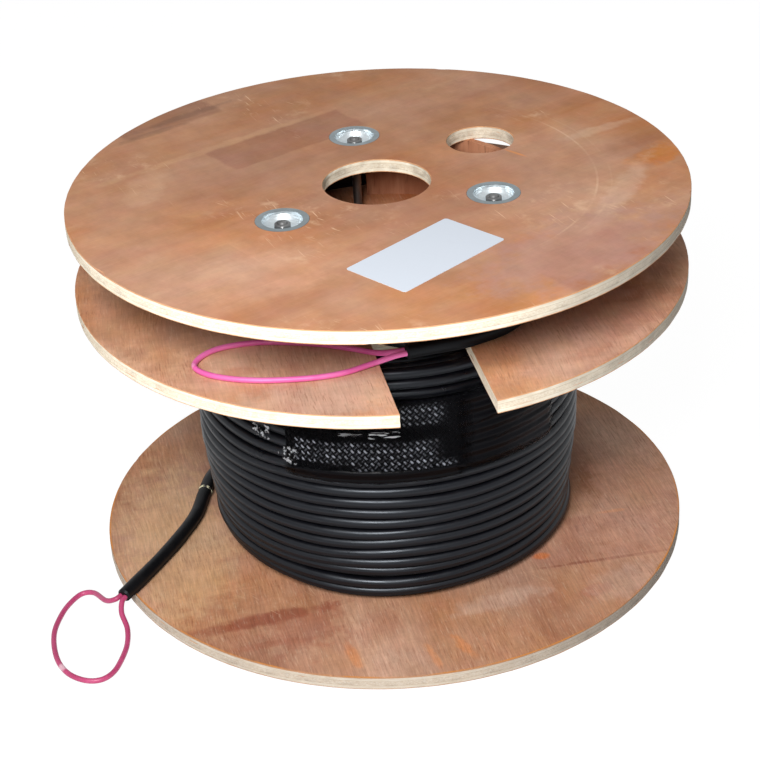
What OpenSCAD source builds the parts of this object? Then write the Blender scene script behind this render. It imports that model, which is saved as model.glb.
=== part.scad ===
// Plywood cable drum with three flanges, wound with a black cable.
// The drum stands on its bottom flange. The origin is the centre of its underside,
// +Z is the drum's axis, and the notch of the middle flange is at the front (-Y).
// Lengths are in millimetres and angles in degrees, counted from +X towards +Y.

/* [Flanges] */
// Diameter of the three flanges
flange_d = 400; // [380:1:430]
// Thickness of the flange board
flange_t = 9; // [9:0.5:15]
// Height of the drum from the bottom flange's underside to the top flange's face
drum_h = 253; // [223:1:293]
// Clear height of the space for the cable's inner end
upper_gap = 46; // [40:1:70]

/* [Cores] */
// Outer diameter of both bent plywood cores
core_d = 212; // [206:1:220]
// Thickness of the core sheets
core_wall = 5; // [3:0.5:7]
// Direction of the open seam in the upper core
seam_az = 106; // [90:1:120]
// Angle that the open seam leaves free
seam_angle = 24; // [6:1:40]

/* [Spindle and hand hole] */
// Diameter of the spindle hole through all three flanges
spindle_d = 70; // [50:1:90]
// Diameter of the hand hole in the top flange
hand_hole_d = 45; // [30:1:50]
// Distance of the hand hole from the axis
hand_hole_r = 92; // [85:1:120]
// Direction of the hand hole
hand_hole_az = 40; // [30:1:50]

/* [Notch of the middle flange] */
// Width of the notch that the cable passes through
notch_w = 57; // [30:1:70]
// Direction of the notch
notch_az = -80; // [-90:1:-70]

/* [Tie bolts] */
// Distance of the bolts from the axis
bolt_r = 78; // [72:0.5:82]
// Direction of the first bolt
bolt_az = 100; // [95:1:105]
// Diameter of the bolt shank
bolt_d = 6; // [5:0.5:8]
// Width across the flats of bolt head and nut
hex_af = 10; // [9:0.5:11]
// Height of the bolt head
head_h = 4; // [3:0.5:5]
// Height of the nut
nut_h = 5; // [4:0.5:6]

/* [Cup washers] */
// Outer diameter of the rim
washer_d = 34; // [31:0.5:40]
// Sheet thickness
washer_t = 1.2; // [0.8:0.1:1.6]
// Diameter of the bowl's mouth
bowl_d = 26; // [22:0.5:28]
// Diameter of the flat seat at the bottom of the bowl
bowl_seat_d = 13; // [13:0.5:16]
// Depth of the bowl
bowl_depth = 7; // [6.5:0.1:7.5]

/* [Label] */
// Length of the paper label
label_l = 88; // [60:1:100]
// Width of the paper label
label_w = 48; // [30:1:60]
// Thickness of the paper label
label_t = 0.2; // [0.1:0.05:0.5]
// Radius of the label's corners
label_corner = 2; // [0.5:0.5:6]
// Distance of the label's middle from the flange's rim
label_inset = 88; // [70:1:95]
// Direction of the label's middle
label_az = -76; // [-85:1:-65]
// Turn of the label's long side from +X
label_turn = 45; // [0:1:90]

/* [Winding] */
// Diameter of the cable
cable_d = 7.6; // [7:0.1:8]
// Layers of cable on the core
layers = 3; // [2:1:3]

/* [Braided sleeve and film] */
// Height of the flattened braided sleeve
braid_w = 52; // [25:1:60]
// Thickness of the flattened braided sleeve
braid_t = 5; // [3:0.5:7]
// Height of the braid's middle below the middle flange
braid_drop = 50; // [45:1:80]
// Direction in which the braid starts
braid_from = -120; // [-130:1:-105]
// Direction in which the braid ends
braid_to = -40; // [-60:1:-38]
// Thickness of the stretch film
film_t = 0.4; // [0.2:0.1:0.8]
// Lap of the film on the cable above and below the braid
film_lap = 9; // [4:0.5:12]
// Direction in which the film starts
film_from = -135; // [-150:1:-132]
// Direction in which the film ends
film_to = -20; // [-34:1:-10]

/* [Cable ends] */
// Diameter of the shrink sleeve on both cable ends
tail_d = 9.5; // [8:0.1:9.6]
// Diameter of the padded stretch of the inner end
pack_d = 16; // [10:0.5:16.5]
// Diameter of the pull loops' cord
loop_d = 3.5; // [2.5:0.1:3.6]

/* [Hidden] */
$fn = 96;

// Gap between a piece and the piece that it lies against
lie_gap = 0.2;
// Play of the bolt in the holes that it passes through
bolt_play = 0.5;
// Length of thread that stands out of the nut
bolt_end = 0.8;
// Reach of a cutting shape past the face that it cuts
cut = 1;
// Arc of the winding's outline between two points
arc_step = 30;
// Arc of the cup washer's bowl between two points
bowl_step = 15;
// Sides of the tubes that stand for the cable ends and for the pull loops
tail_sides = 10;
loop_sides = 8;

// Levels of the boards
lower_z = flange_t;
top_z = drum_h - flange_t;
upper_z = top_z - upper_gap;
middle_z = upper_z - flange_t;
lower_gap = middle_z - lower_z;

// The notch ends just in front of the cores
notch_gap = 1;
notch_r = core_d / 2 + notch_gap;

label_r = flange_d / 2 - label_inset;

// The rows of the winding fill the space between its flanges
turns = floor(lower_gap / cable_d);
pitch = lower_gap / turns;
wind_r = core_d / 2 + lie_gap;
wind_out = wind_r + layers * cable_d;

// The braid lies on the winding's crests and the film on the braid
braid_r = wind_out + lie_gap;
braid_z = middle_z - braid_drop;
film_run = braid_w / 2 + film_lap;

hex_r = hex_af / 2 / cos(30);
bowl_curve = (bowl_d - bowl_seat_d) / 2;

// Heights of the cable ends' middle lines: bare cable and sleeve on the bottom flange,
// sleeve on the winding in the notch, sleeve on the middle flange
cable_z = lower_z + lie_gap + cable_d / 2;
outer_z = lower_z + lie_gap + tail_d / 2;
sunk_z = middle_z + lie_gap + tail_d / 2;
inner_z = upper_z + lie_gap + tail_d / 2;

// The outer end leaves the lowest row behind the winding, crosses the bottom flange
// and ends just past its rim. Each point is x, y, z and the diameter there.
outer_tail_route = [[-44, 119, cable_z, cable_d], [-73, 104, cable_z, cable_d], [-98, 84, cable_z, cable_d],
    [-117, 61, cable_z, cable_d], [-129, 34, outer_z, tail_d], [-134, 9, outer_z, tail_d],
    [-138, -16, outer_z, tail_d], [-147, -41, outer_z, tail_d], [-158, -65, outer_z, tail_d],
    [-170, -88, outer_z, tail_d], [-180, -106, outer_z, tail_d]];

// The outer pull loop comes out of the sleeve and lies on the floor beside the bottom flange.
floor_z = lie_gap + loop_d / 2;
outer_loop_route = [[-182, -106, outer_z], [-186, -109, outer_z - 1], [-193, -104, outer_z - 5],
    [-203, -88, floor_z + 2], [-212, -86, floor_z], [-219, -97, floor_z], [-223, -110, floor_z],
    [-225, -126, floor_z], [-223, -143, floor_z], [-218, -159, floor_z], [-210, -171, floor_z],
    [-199, -178, floor_z], [-189, -178, floor_z], [-182, -171, floor_z], [-178, -158, floor_z],
    [-176, -143, floor_z], [-177, -129, floor_z + 2], [-181, -119, outer_z - 5], [-181, -112, outer_z - 1],
    [-179, -108, outer_z]];

// The inner end rises through the notch and goes once round the upper core, where it is padded,
// and then lies over the notch. Its way round is a spiral of this many degrees at a time.
wrap_from = -105;
wrap_to = -405;
wrap_step = 15;
wrap_gap = 1.25;
wrap_grow = 15;
wrap_r = core_d / 2 + wrap_gap + tail_d / 2;
pack_from = -180;
pack_to = -315;
function wrap_d(a) = a < pack_from && a > pack_to ? pack_d : tail_d;
function wrap_radius(a) = wrap_r + wrap_grow * pow((a - wrap_from) / (wrap_to - wrap_from), 2)
    + (wrap_d(a) - tail_d) / 2;
inner_tail_route = concat(
    [[38, -108, sunk_z, tail_d], [23, -111, sunk_z, tail_d], [8, -113, (sunk_z + inner_z) / 2, tail_d],
        [-8, -113, inner_z, tail_d]],
    [for (a = [wrap_from : -wrap_step : wrap_to]) [wrap_radius(a) * cos(a), wrap_radius(a) * sin(a),
        upper_z + lie_gap + wrap_d(a) / 2, wrap_d(a)]],
    [[72, -112, inner_z, tail_d], [48, -126, inner_z, tail_d], [30, -131, inner_z, tail_d],
        [13, -136, inner_z, tail_d]]);

// The inner pull loop comes out of the sleeve and lies on the middle flange, left of the notch.
board_z = upper_z + lie_gap + loop_d / 2;
inner_loop_route = [[13, -138, inner_z], [5, -141, inner_z], [-8, -145, board_z + 1], [-24, -152, board_z],
    [-40, -156, board_z], [-58, -157, board_z], [-76, -156, board_z], [-93, -152, board_z],
    [-107, -145, board_z], [-114, -136, board_z], [-112, -126, board_z], [-104, -117, board_z],
    [-92, -112, board_z], [-76, -110, board_z], [-58, -112, board_z], [-40, -116, board_z],
    [-22, -123, board_z], [-6, -132, board_z + 1], [4, -136, inner_z], [12, -134, inner_z]];

// Directions of the three tie bolts
function bolt_angle(i) = bolt_az - 120 * (i - 1);

// A point of a route without its diameter
function place(p) = [p[0], p[1], p[2]];
function unit(v) = v / norm(v);
function heading(route, i) = unit(place(route[min(i + 1, len(route) - 1)]) - place(route[max(i - 1, 0)]));

// Tube along a route: one ring of points for each of its places, square to the way it goes
module cord_tube(route, diameters, sides) {
    last = len(route) - 1;
    points = [for (i = [0 : last])
        let (along = heading(route, i), side = unit(cross([0, 0, 1], along)), up = cross(along, side))
        for (k = [0 : sides - 1])
        place(route[i]) + diameters[i] / 2 * (cos(360 * k / sides) * side + sin(360 * k / sides) * up)];
    walls = [for (i = [0 : last - 1]) for (k = [0 : sides - 1])
        [i * sides + k, (i + 1) * sides + k, (i + 1) * sides + (k + 1) % sides, i * sides + (k + 1) % sides]];
    start = [[for (k = [0 : sides - 1]) k]];
    end = [[for (k = [sides - 1 : -1 : 0]) last * sides + k]];
    polyhedron(points, concat(start, walls, end), convexity = 6);
}

// Round board with the spindle hole, its underside at z = 0
module board() {
    difference() {
        cylinder(d = flange_d, h = flange_t);
        translate([0, 0, -cut]) cylinder(d = spindle_d, h = flange_t + 2 * cut);
    }
}

// Something at each tie bolt
module at_bolt(i) {
    rotate([0, 0, bolt_angle(i)]) translate([bolt_r, 0, 0]) children();
}

// Hole for a cup washer, from a face at z = 0 down into the board, with a seat for the rim
module washer_hole() {
    translate([0, 0, -flange_t - cut]) cylinder(d = bowl_d + 2 * washer_t + 2 * lie_gap, h = flange_t + 2 * cut);
    translate([0, 0, -washer_t]) cylinder(d = washer_d + 2 * lie_gap, h = washer_t + cut);
}

// Dished steel washer, its rim flush with the face at z = 0
module cup_washer() {
    seat_r = bowl_seat_d / 2;
    hole_r = (bolt_d + bolt_play) / 2;
    rotate_extrude() polygon(concat(
        [[washer_d / 2, 0]],
        [for (a = [0 : bowl_step : 90]) [seat_r + bowl_curve * cos(a), -bowl_depth * sin(a)]],
        [[hole_r, -bowl_depth], [hole_r, -bowl_depth - washer_t]],
        [for (a = [90 : -bowl_step : bowl_step]) [seat_r + (bowl_curve + washer_t) * cos(a), -(bowl_depth + washer_t) * sin(a)]],
        [[seat_r + bowl_curve + washer_t, -washer_t], [washer_d / 2, -washer_t]]));
}

// Points of one turn's outline between two angles, without the last
function turn_arc(layer, row, from, to) = [for (a = [from : arc_step : to - arc_step])
    [wind_r + (layer + 0.5) * cable_d + cable_d / 2 * cos(a), lower_z + (row + 0.5) * pitch + pitch / 2 * sin(a)]];

module bottom_flange() {
    color("burlywood") difference() {
        board();
        for (i = [1 : 3]) at_bolt(i) mirror([0, 0, 1]) washer_hole();
    }
}

module middle_flange() {
    color("burlywood") translate([0, 0, middle_z]) difference() {
        board();
        for (i = [1 : 3]) at_bolt(i) translate([0, 0, -cut]) cylinder(d = bolt_d + bolt_play, h = flange_t + 2 * cut);
        rotate([0, 0, notch_az]) translate([notch_r, -notch_w / 2, -cut]) cube([flange_d, notch_w, flange_t + 2 * cut]);
    }
}

module top_flange() {
    color("burlywood") difference() {
        translate([0, 0, top_z]) board();
        for (i = [1 : 3]) at_bolt(i) translate([0, 0, drum_h]) washer_hole();
        rotate([0, 0, hand_hole_az]) translate([hand_hole_r, 0, top_z - cut])
            cylinder(d = hand_hole_d, h = flange_t + 2 * cut);
    }
}

module main_core() {
    color("peru") translate([0, 0, lower_z]) difference() {
        cylinder(d = core_d, h = lower_gap);
        translate([0, 0, -cut]) cylinder(d = core_d - 2 * core_wall, h = lower_gap + 2 * cut);
    }
}

// The upper core is a bent sheet whose two ends don't meet
module upper_core() {
    color("peru") translate([0, 0, upper_z]) rotate([0, 0, seam_az + seam_angle / 2])
        rotate_extrude(angle = 360 - seam_angle) translate([core_d / 2 - core_wall, 0]) square([core_wall, upper_gap]);
}

// Bolt with its head in the bottom cup washer
module tie_bolt(i) {
    color("dimgray") at_bolt(i) {
        translate([0, 0, bowl_depth - head_h]) cylinder(r = hex_r, h = head_h, $fn = 6);
        translate([0, 0, bowl_depth]) cylinder(d = bolt_d, h = drum_h - 2 * bowl_depth + nut_h + bolt_end);
    }
}

module nut(i) {
    color("silver") at_bolt(i) translate([0, 0, drum_h - bowl_depth]) difference() {
        cylinder(r = hex_r, h = nut_h, $fn = 6);
        translate([0, 0, -cut]) cylinder(d = bolt_d + lie_gap, h = nut_h + 2 * cut);
    }
}

module top_cup_washer(i) {
    color("silver") at_bolt(i) translate([0, 0, drum_h]) cup_washer();
}

module bottom_cup_washer(i) {
    color("silver") at_bolt(i) mirror([0, 0, 1]) cup_washer();
}

module label() {
    color("white") rotate([0, 0, label_az]) translate([label_r, 0, drum_h]) rotate([0, 0, label_turn - label_az])
        linear_extrude(label_t) union() {
            square([label_l, label_w - 2 * label_corner], center = true);
            square([label_l - 2 * label_corner, label_w], center = true);
            for (x = [-1, 1], y = [-1, 1])
                translate([x * (label_l / 2 - label_corner), y * (label_w / 2 - label_corner)]) circle(r = label_corner);
        }
}

// The wound cable: its turns show on the outside and on both ends, and the outer layer
// lacks the lowest row, which the outer end has left
module cable_winding() {
    outer = layers - 1;
    color([0.1, 0.1, 0.11]) rotate_extrude() polygon(concat(
        [for (l = [0 : 1 : outer - 2]) each turn_arc(l, 0, 180, 360)],
        turn_arc(outer - 1, 0, 180, 450),
        [[wind_r + (outer - 0.5) * cable_d, lower_z + pitch]],
        [for (j = [1 : 1 : turns - 2]) each turn_arc(outer, j, -90, 90)],
        turn_arc(outer, turns - 1, -90, 180),
        [for (l = [outer - 1 : -1 : 0]) each turn_arc(l, turns - 1, 0, 180)],
        [[wind_r, lower_z + (turns - 0.5) * pitch]]));
}

// The braided sleeve lies flat on the winding, with rounded edges
module braided_sleeve() {
    edge_r = braid_t / 2;
    color([0.15, 0.15, 0.16]) rotate([0, 0, braid_from]) rotate_extrude(angle = braid_to - braid_from)
        translate([braid_r, braid_z]) union() {
            translate([0, edge_r - braid_w / 2]) square([braid_t, braid_w - braid_t]);
            for (s = [-1, 1]) translate([edge_r, s * (braid_w / 2 - edge_r)]) circle(r = edge_r);
        }
}

// Clear film drawn over the braid and laid on the cable above and below it
module stretch_film() {
    rise = braid_t + lie_gap;
    color([0.85, 0.88, 0.9, 0.4]) rotate([0, 0, film_from]) rotate_extrude(angle = film_to - film_from)
        translate([braid_r, braid_z]) polygon([
            [0, -film_run], [film_t, -film_run], [rise + film_t, -braid_w / 2], [rise + film_t, braid_w / 2],
            [film_t, film_run], [0, film_run], [rise, braid_w / 2], [rise, -braid_w / 2]]);
}

module outer_tail() {
    color([0.1, 0.1, 0.1]) cord_tube(outer_tail_route, [for (p = outer_tail_route) p[3]], tail_sides);
}

module outer_pull_loop() {
    color([0.71, 0.27, 0.43]) cord_tube(outer_loop_route, [for (p = outer_loop_route) loop_d], loop_sides);
}

module inner_tail() {
    color([0.1, 0.1, 0.1]) cord_tube(inner_tail_route, [for (p = inner_tail_route) p[3]], tail_sides);
}

module inner_pull_loop() {
    color([0.9, 0.31, 0.63]) cord_tube(inner_loop_route, [for (p = inner_loop_route) loop_d], loop_sides);
}

bottom_flange();
middle_flange();
top_flange();
main_core();
upper_core();
for (i = [1 : 3]) {
    tie_bolt(i);
    nut(i);
    top_cup_washer(i);
    bottom_cup_washer(i);
}
label();
cable_winding();
braided_sleeve();
stretch_film();
outer_tail();
outer_pull_loop();
inner_tail();
inner_pull_loop();
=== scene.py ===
"""Looks of a plywood cable drum: veneered boards, wound cable, braid under film, cable ends and bolts.

Lengths are in millimetres, as in the part's own drawing, and become metres when a mesh or a light is made.
Angles are in degrees, counted from +X towards +Y.
"""

import logging
import math
from dataclasses import dataclass, field
from enum import Enum
from functools import cache, partial, reduce
from typing import Any, Sequence

import bmesh
import bpy
import numpy as np
from mathutils import Matrix, Vector
from mathutils.geometry import tessellate_polygon


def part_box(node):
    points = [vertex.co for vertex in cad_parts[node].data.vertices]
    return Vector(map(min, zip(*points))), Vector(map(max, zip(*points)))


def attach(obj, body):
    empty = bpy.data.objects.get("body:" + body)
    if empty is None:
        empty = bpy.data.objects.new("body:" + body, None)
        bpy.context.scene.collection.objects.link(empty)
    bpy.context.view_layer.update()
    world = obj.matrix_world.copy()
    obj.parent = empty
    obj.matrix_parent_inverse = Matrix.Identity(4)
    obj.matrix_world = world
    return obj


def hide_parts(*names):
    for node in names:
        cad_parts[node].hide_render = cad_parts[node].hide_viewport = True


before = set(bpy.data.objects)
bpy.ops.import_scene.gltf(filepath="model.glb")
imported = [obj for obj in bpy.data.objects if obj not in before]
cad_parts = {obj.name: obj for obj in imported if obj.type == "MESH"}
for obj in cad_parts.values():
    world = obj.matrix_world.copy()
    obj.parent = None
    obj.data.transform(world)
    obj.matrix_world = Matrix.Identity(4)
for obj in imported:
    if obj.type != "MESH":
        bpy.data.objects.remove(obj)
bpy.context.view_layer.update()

MM = 0.001
BODY = "root"
LOG = logging.getLogger("cable_drum")

Array = np.ndarray
Color = tuple[float, float, float, float]
Material = bpy.types.Material
Node = bpy.types.Node
Piece = bpy.types.Object
Socket = bpy.types.NodeSocket
Tree = bpy.types.NodeTree


class Shading(Enum):
    """How the faces of a piece meet."""

    ROUND = 180.0
    CREASED = 35.0


class Grain(Enum):
    """Direction of a board's face veneer, in degrees."""

    TOP = 36.0
    MIDDLE = 98.0
    BOTTOM = 103.0


def srgb(red: int, green: int, blue: int) -> Color:
    """Gives the linear colour of a display colour.

    Args:
        red: Red from 0 to 255.
        green: Green from 0 to 255.
        blue: Blue from 0 to 255.

    Returns:
        The linear colour with full alpha.
    """
    parts = [c / 255 for c in (red, green, blue)]
    linear = [c / 12.92 if c <= 0.04045 else ((c + 0.055) / 1.055) ** 2.4 for c in parts]
    return (linear[0], linear[1], linear[2], 1.0)


def node_box(node: str) -> list[list[float]]:
    """Gives the lowest and highest corner of a CAD node in millimetres."""
    return [[float(part) / MM for part in corner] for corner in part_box(node)]


def polar(radius: Any, azimuth: Any) -> tuple[Any, Any]:
    """Gives x and y of a place by its distance from the axis and its direction in degrees."""
    angle = np.radians(azimuth)
    return radius * np.cos(angle), radius * np.sin(angle)


def smoothstep(value: Any, low: float, high: float) -> Any:
    """Gives 0 below low, 1 above high, and a smooth rise between them."""
    t = np.clip((value - low) / (high - low), 0, 1)
    return t * t * (3 - 2 * t)


class Wobble:
    """Smooth, seeded unevenness along one or two coordinates, between about -1 and 1."""

    def __init__(self, seed: int, waves: int, longest: float, shortest: float) -> None:
        """Draws the waves.

        Args:
            seed: Seed of the draw.
            waves: Number of waves that are added up.
            longest: Longest wave.
            shortest: Shortest wave.
        """
        draw = np.random.default_rng(seed)
        lengths = np.exp(draw.uniform(math.log(shortest), math.log(longest), waves))
        self.phase = draw.uniform(0, 2 * math.pi, waves)
        self.turn = draw.uniform(0, 2 * math.pi, waves)
        self.rate = 2 * math.pi / lengths
        self.size = lengths / lengths.sum() * math.sqrt(waves)

    def along(self, x: Array) -> Array:
        """Gives the unevenness along one coordinate."""
        return (self.size * np.sin(np.multiply.outer(x, self.rate) + self.phase)).sum(-1)

    def over(self, x: Array, y: Array) -> Array:
        """Gives the unevenness over two coordinates of the same shape.

        Args:
            x: First coordinates.
            y: Second coordinates.

        Returns:
            Unevenness at each place.
        """
        across, upright = self.rate * np.cos(self.turn), self.rate * np.sin(self.turn)
        way = np.multiply.outer(x, across) + np.multiply.outer(y, upright)
        return (self.size * np.sin(way + self.phase)).sum(-1)


@dataclass
class Shape:
    """Points and faces of a mesh, in millimetres."""

    points: list[Array] = field(default_factory=list)
    faces: list[Sequence[int]] = field(default_factory=list)
    count: int = 0

    def add(self, points: Array, faces: Sequence[Sequence[int]]) -> None:
        """Adds points, and faces that count from the first of them.

        Args:
            points: New points.
            faces: New faces, by the numbers of the new points.
        """
        self.points.append(np.asarray(points, float))
        self.faces.extend([[i + self.count for i in face] for face in faces])
        self.count += len(points)

    def piece(self, name: str, material: Material, slot: str | None = None,
              replaces: Sequence[str] = (), shading: Shading = Shading.CREASED) -> Piece:
        """Makes the Blender object and joins it to the frame.

        Args:
            name: Name of the piece.
            material: Its finish.
            slot: Not used.
            replaces: CAD nodes that the piece stands for.
            shading: How its faces meet.

        Returns:
            The new object.
        """
        mesh = bpy.data.meshes.new(name)
        mesh.from_pydata((np.concatenate(self.points) * MM).tolist(), [], self.faces)
        mesh.validate()
        mesh.shade_smooth()
        if shading is not Shading.ROUND:
            mesh.set_sharp_from_angle(angle=math.radians(shading.value))
        mesh.materials.append(material)
        made = bpy.data.objects.new(name, mesh)
        bpy.context.scene.collection.objects.link(made)
        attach(made, BODY)
        if replaces:
            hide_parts(*replaces)
        LOG.info("%s: %d points, %d faces", name, len(mesh.vertices), len(mesh.polygons))
        return made


def band_faces(rings: int, around: int, closed: bool = True) -> list[list[int]]:
    """Gives the quads between rings of points.

    Args:
        rings: Number of rings.
        around: Points in each ring.
        closed: Whether the last point of a ring joins its first.

    Returns:
        The faces, each a list of point numbers.
    """
    steps = around if closed else around - 1
    return [[r * around + k, r * around + (k + 1) % around,
             (r + 1) * around + (k + 1) % around, (r + 1) * around + k]
            for r in range(rings - 1) for k in range(steps)]


def cap_faces(rings: int, around: int) -> list[list[int]]:
    """Gives the faces that close the first and the last of several rings."""
    return [list(range(around))[::-1], list(range((rings - 1) * around, rings * around))]


def join_faces(rings: int, around: int) -> list[list[int]]:
    """Gives the quads that join the last of several rings to the first."""
    last = (rings - 1) * around
    return [[last + k, last + (k + 1) % around, (k + 1) % around, k] for k in range(around)]


def even_path(points: Array, step: float) -> Array:
    """Draws one smooth line through points and divides it evenly.

    Args:
        points: Points of the line, one per row, whose first three columns are its place.
        step: Distance between the new points.

    Returns:
        The new points, with every column carried along.
    """
    padded = np.vstack([2 * points[0] - points[1], points, 2 * points[-1] - points[-2]])
    t = np.linspace(0, 1, 24, endpoint=False)[:, None]
    runs = []
    for a, b, c, d in zip(padded[:-3], padded[1:-2], padded[2:-1], padded[3:]):
        bend, twist = 2 * a - 5 * b + 4 * c - d, 3 * b - a - 3 * c + d
        runs.append(0.5 * (2 * b + (c - a) * t + bend * t ** 2 + twist * t ** 3))
    fine = np.vstack(runs + [points[-1:]])
    way = np.concatenate([[0], np.cumsum(np.linalg.norm(np.diff(fine[:, :3], axis=0), axis=1))])
    places = np.linspace(0, way[-1], max(2, round(way[-1] / step) + 1))
    return np.stack([np.interp(places, way, column) for column in fine.T], 1)


def carried_frames(path: Array) -> tuple[Array, Array, Array]:
    """Gives the direction of a line and two directions square to it that don't twist.

    Args:
        path: Points of the line.

    Returns:
        Directions along the line, to its side and upwards from it.
    """
    along = np.gradient(path, axis=0)
    along /= np.linalg.norm(along, axis=1)[:, None]
    side = np.empty_like(along)
    start = np.cross([0.0, 0.0, 1.0], along[0])
    side[0] = start / np.linalg.norm(start)
    for i in range(1, len(path)):
        turned = side[i - 1] - along[i] * (side[i - 1] @ along[i])
        side[i] = turned / np.linalg.norm(turned)
    return along, side, np.cross(along, side)


def add_tube(shape: Shape, path: Array, radii: Array, sides: int, end_round: float = 0.25) -> None:
    """Adds a closed round tube along a line, with rounded ends.

    Args:
        shape: Shape that takes the tube.
        path: Points of the line.
        radii: Radius at each of them.
        sides: Points round the tube.
        end_round: Share of the radius that the rounding of each end takes.
    """
    along, side, up = carried_frames(path)
    angle = np.arange(sides) * 2 * math.pi / sides
    circle = np.cos(angle)[None, :, None] * side[:, None] + np.sin(angle)[None, :, None] * up[:, None]
    rings = path[:, None] + radii[:, None, None] * circle
    reach = end_round * radii[[0, -1]]
    first = path[0] - along[0] * reach[0] + circle[0] * radii[0] * (1 - end_round)
    last = path[-1] + along[-1] * reach[1] + circle[-1] * radii[-1] * (1 - end_round)
    rings = np.concatenate([first[None], rings, last[None]])
    shape.add(rings.reshape(-1, 3), band_faces(len(rings), sides) + cap_faces(len(rings), sides))


class Graph:
    """A node tree with short calls that add nodes and link them."""

    def __init__(self, tree: Tree) -> None:
        """Keeps the tree."""
        self.tree = tree

    def feed(self, socket: Socket, value: Any) -> None:
        """Links a socket to another one, or sets its value.

        Args:
            socket: Socket that is fed.
            value: Another socket, or a plain value.
        """
        if isinstance(value, Socket):
            self.tree.links.new(value, socket)
        else:
            socket.default_value = value

    def feed_all(self, node: Node, inputs: dict[Any, Any]) -> None:
        """Sets or links several inputs of a node."""
        for key, value in inputs.items():
            self.feed(node.inputs[key], value)

    def add(self, kind: str, inputs: dict[Any, Any] | None = None, **settings: Any) -> Node:
        """Adds a node.

        Args:
            kind: Blender's name of the node type, after ShaderNode.
            inputs: Values or sockets for its inputs, by name or number.
            **settings: Properties of the node.

        Returns:
            The new node.
        """
        made = self.tree.nodes.new(f"ShaderNode{kind}")
        for key, value in settings.items():
            setattr(made, key, value)
        self.feed_all(made, inputs or {})
        return made

    def math(self, operation: str, a: Any, b: Any = 0.0, c: Any = 0.0) -> Socket:
        """Adds a Math node and gives its result."""
        return self.add("Math", {0: a, 1: b, 2: c}, operation=operation).outputs[0]

    def times(self, *values: Any) -> Socket:
        """Multiplies two or more values."""
        return reduce(partial(self.math, "MULTIPLY"), values)

    def plus(self, a: Any, b: Any) -> Socket:
        """Adds two values."""
        return self.math("ADD", a, b)

    def minus(self, a: Any, b: Any) -> Socket:
        """Takes the second value from the first."""
        return self.math("SUBTRACT", a, b)

    def off(self, a: Any, b: Any) -> Socket:
        """Gives how far two values lie apart."""
        return self.math("ABSOLUTE", self.minus(a, b))

    def reach(self, x: Any, y: Any) -> Socket:
        """Gives the distance of a place from the axis."""
        return self.math("SQRT", self.plus(self.times(x, x), self.times(y, y)))

    def mix(self, factor: Any, a: Any, b: Any, blend: str = "MIX") -> Socket:
        """Adds a colour Mix node and gives its result."""
        inputs = {0: factor, 6: a, 7: b}
        return self.add("Mix", inputs, data_type="RGBA", blend_type=blend).outputs[2]

    def blend(self, factor: Any, a: Any, b: Any) -> Socket:
        """Adds a Mix node for plain values and gives its result."""
        return self.add("Mix", {0: factor, 2: a, 3: b}, data_type="FLOAT").outputs[0]

    def between(self, value: Any, low: Any, high: Any, start: Any = 0.0, end: Any = 1.0) -> Socket:
        """Adds a smooth Map Range node and gives its result."""
        inputs = {"Value": value, "From Min": low, "From Max": high, "To Min": start, "To Max": end}
        return self.add("MapRange", inputs, interpolation_type="SMOOTHSTEP").outputs[0]

    def ramp(self, value: Any, stops: Sequence[tuple[float, Any]]) -> Socket:
        """Mixes colours one after the other along a value.

        Args:
            value: Value that chooses the colour.
            stops: Values with their colours, from low to high.

        Returns:
            The mixed colour.
        """
        colour = stops[0][1]
        for (low, _), (high, following) in zip(stops, stops[1:]):
            colour = self.mix(self.between(value, low, high), colour, following)
        return colour

    def place(self) -> Socket:
        """Gives the place on the object in metres."""
        return self.add("TexCoord").outputs["Object"]

    def upward(self) -> Socket:
        """Gives how far the surface looks up, from -1 to 1."""
        return self.parts(self.add("NewGeometry").outputs["Normal"])[2]

    def parts(self, vector: Any) -> tuple[Socket, Socket, Socket]:
        """Gives x, y and z of a vector."""
        split = self.add("SeparateXYZ", {0: vector})
        return split.outputs[0], split.outputs[1], split.outputs[2]

    def vector(self, x: Any, y: Any, z: Any) -> Socket:
        """Joins x, y and z into a vector."""
        return self.add("CombineXYZ", {0: x, 1: y, 2: z}).outputs[0]

    def scaled(self, vector: Any, scale: Sequence[float]) -> Socket:
        """Scales a vector by a factor for each axis."""
        return self.add("VectorMath", {0: vector, 1: scale}, operation="MULTIPLY").outputs[0]

    def turned(self, vector: Any, angle: Any) -> Socket:
        """Turns a vector about Z by an angle in radians."""
        inputs = {"Vector": vector, "Angle": angle}
        return self.add("VectorRotate", inputs, rotation_type="Z_AXIS").outputs[0]

    def noise(self, vector: Any, scale: Any = 1.0, detail: float = 2.0, roughness: float = 0.5) -> Socket:
        """Adds a Noise Texture and gives its value."""
        inputs = {"Vector": vector, "Scale": scale, "Detail": detail, "Roughness": roughness}
        return self.add("TexNoise", inputs).outputs[0]

    def effect(self, group: Tree, inputs: dict[str, Any]) -> Node:
        """Places a node group with values or sockets for its inputs, and gives its node."""
        return self.add("Group", inputs, node_tree=group)

    def bump(self, height: Any, strength: float, distance: float) -> Socket:
        """Adds a Bump node and gives its normal; the distance is in millimetres."""
        inputs = {"Height": height, "Strength": strength, "Distance": distance * MM}
        return self.add("Bump", inputs).outputs[0]


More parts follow.
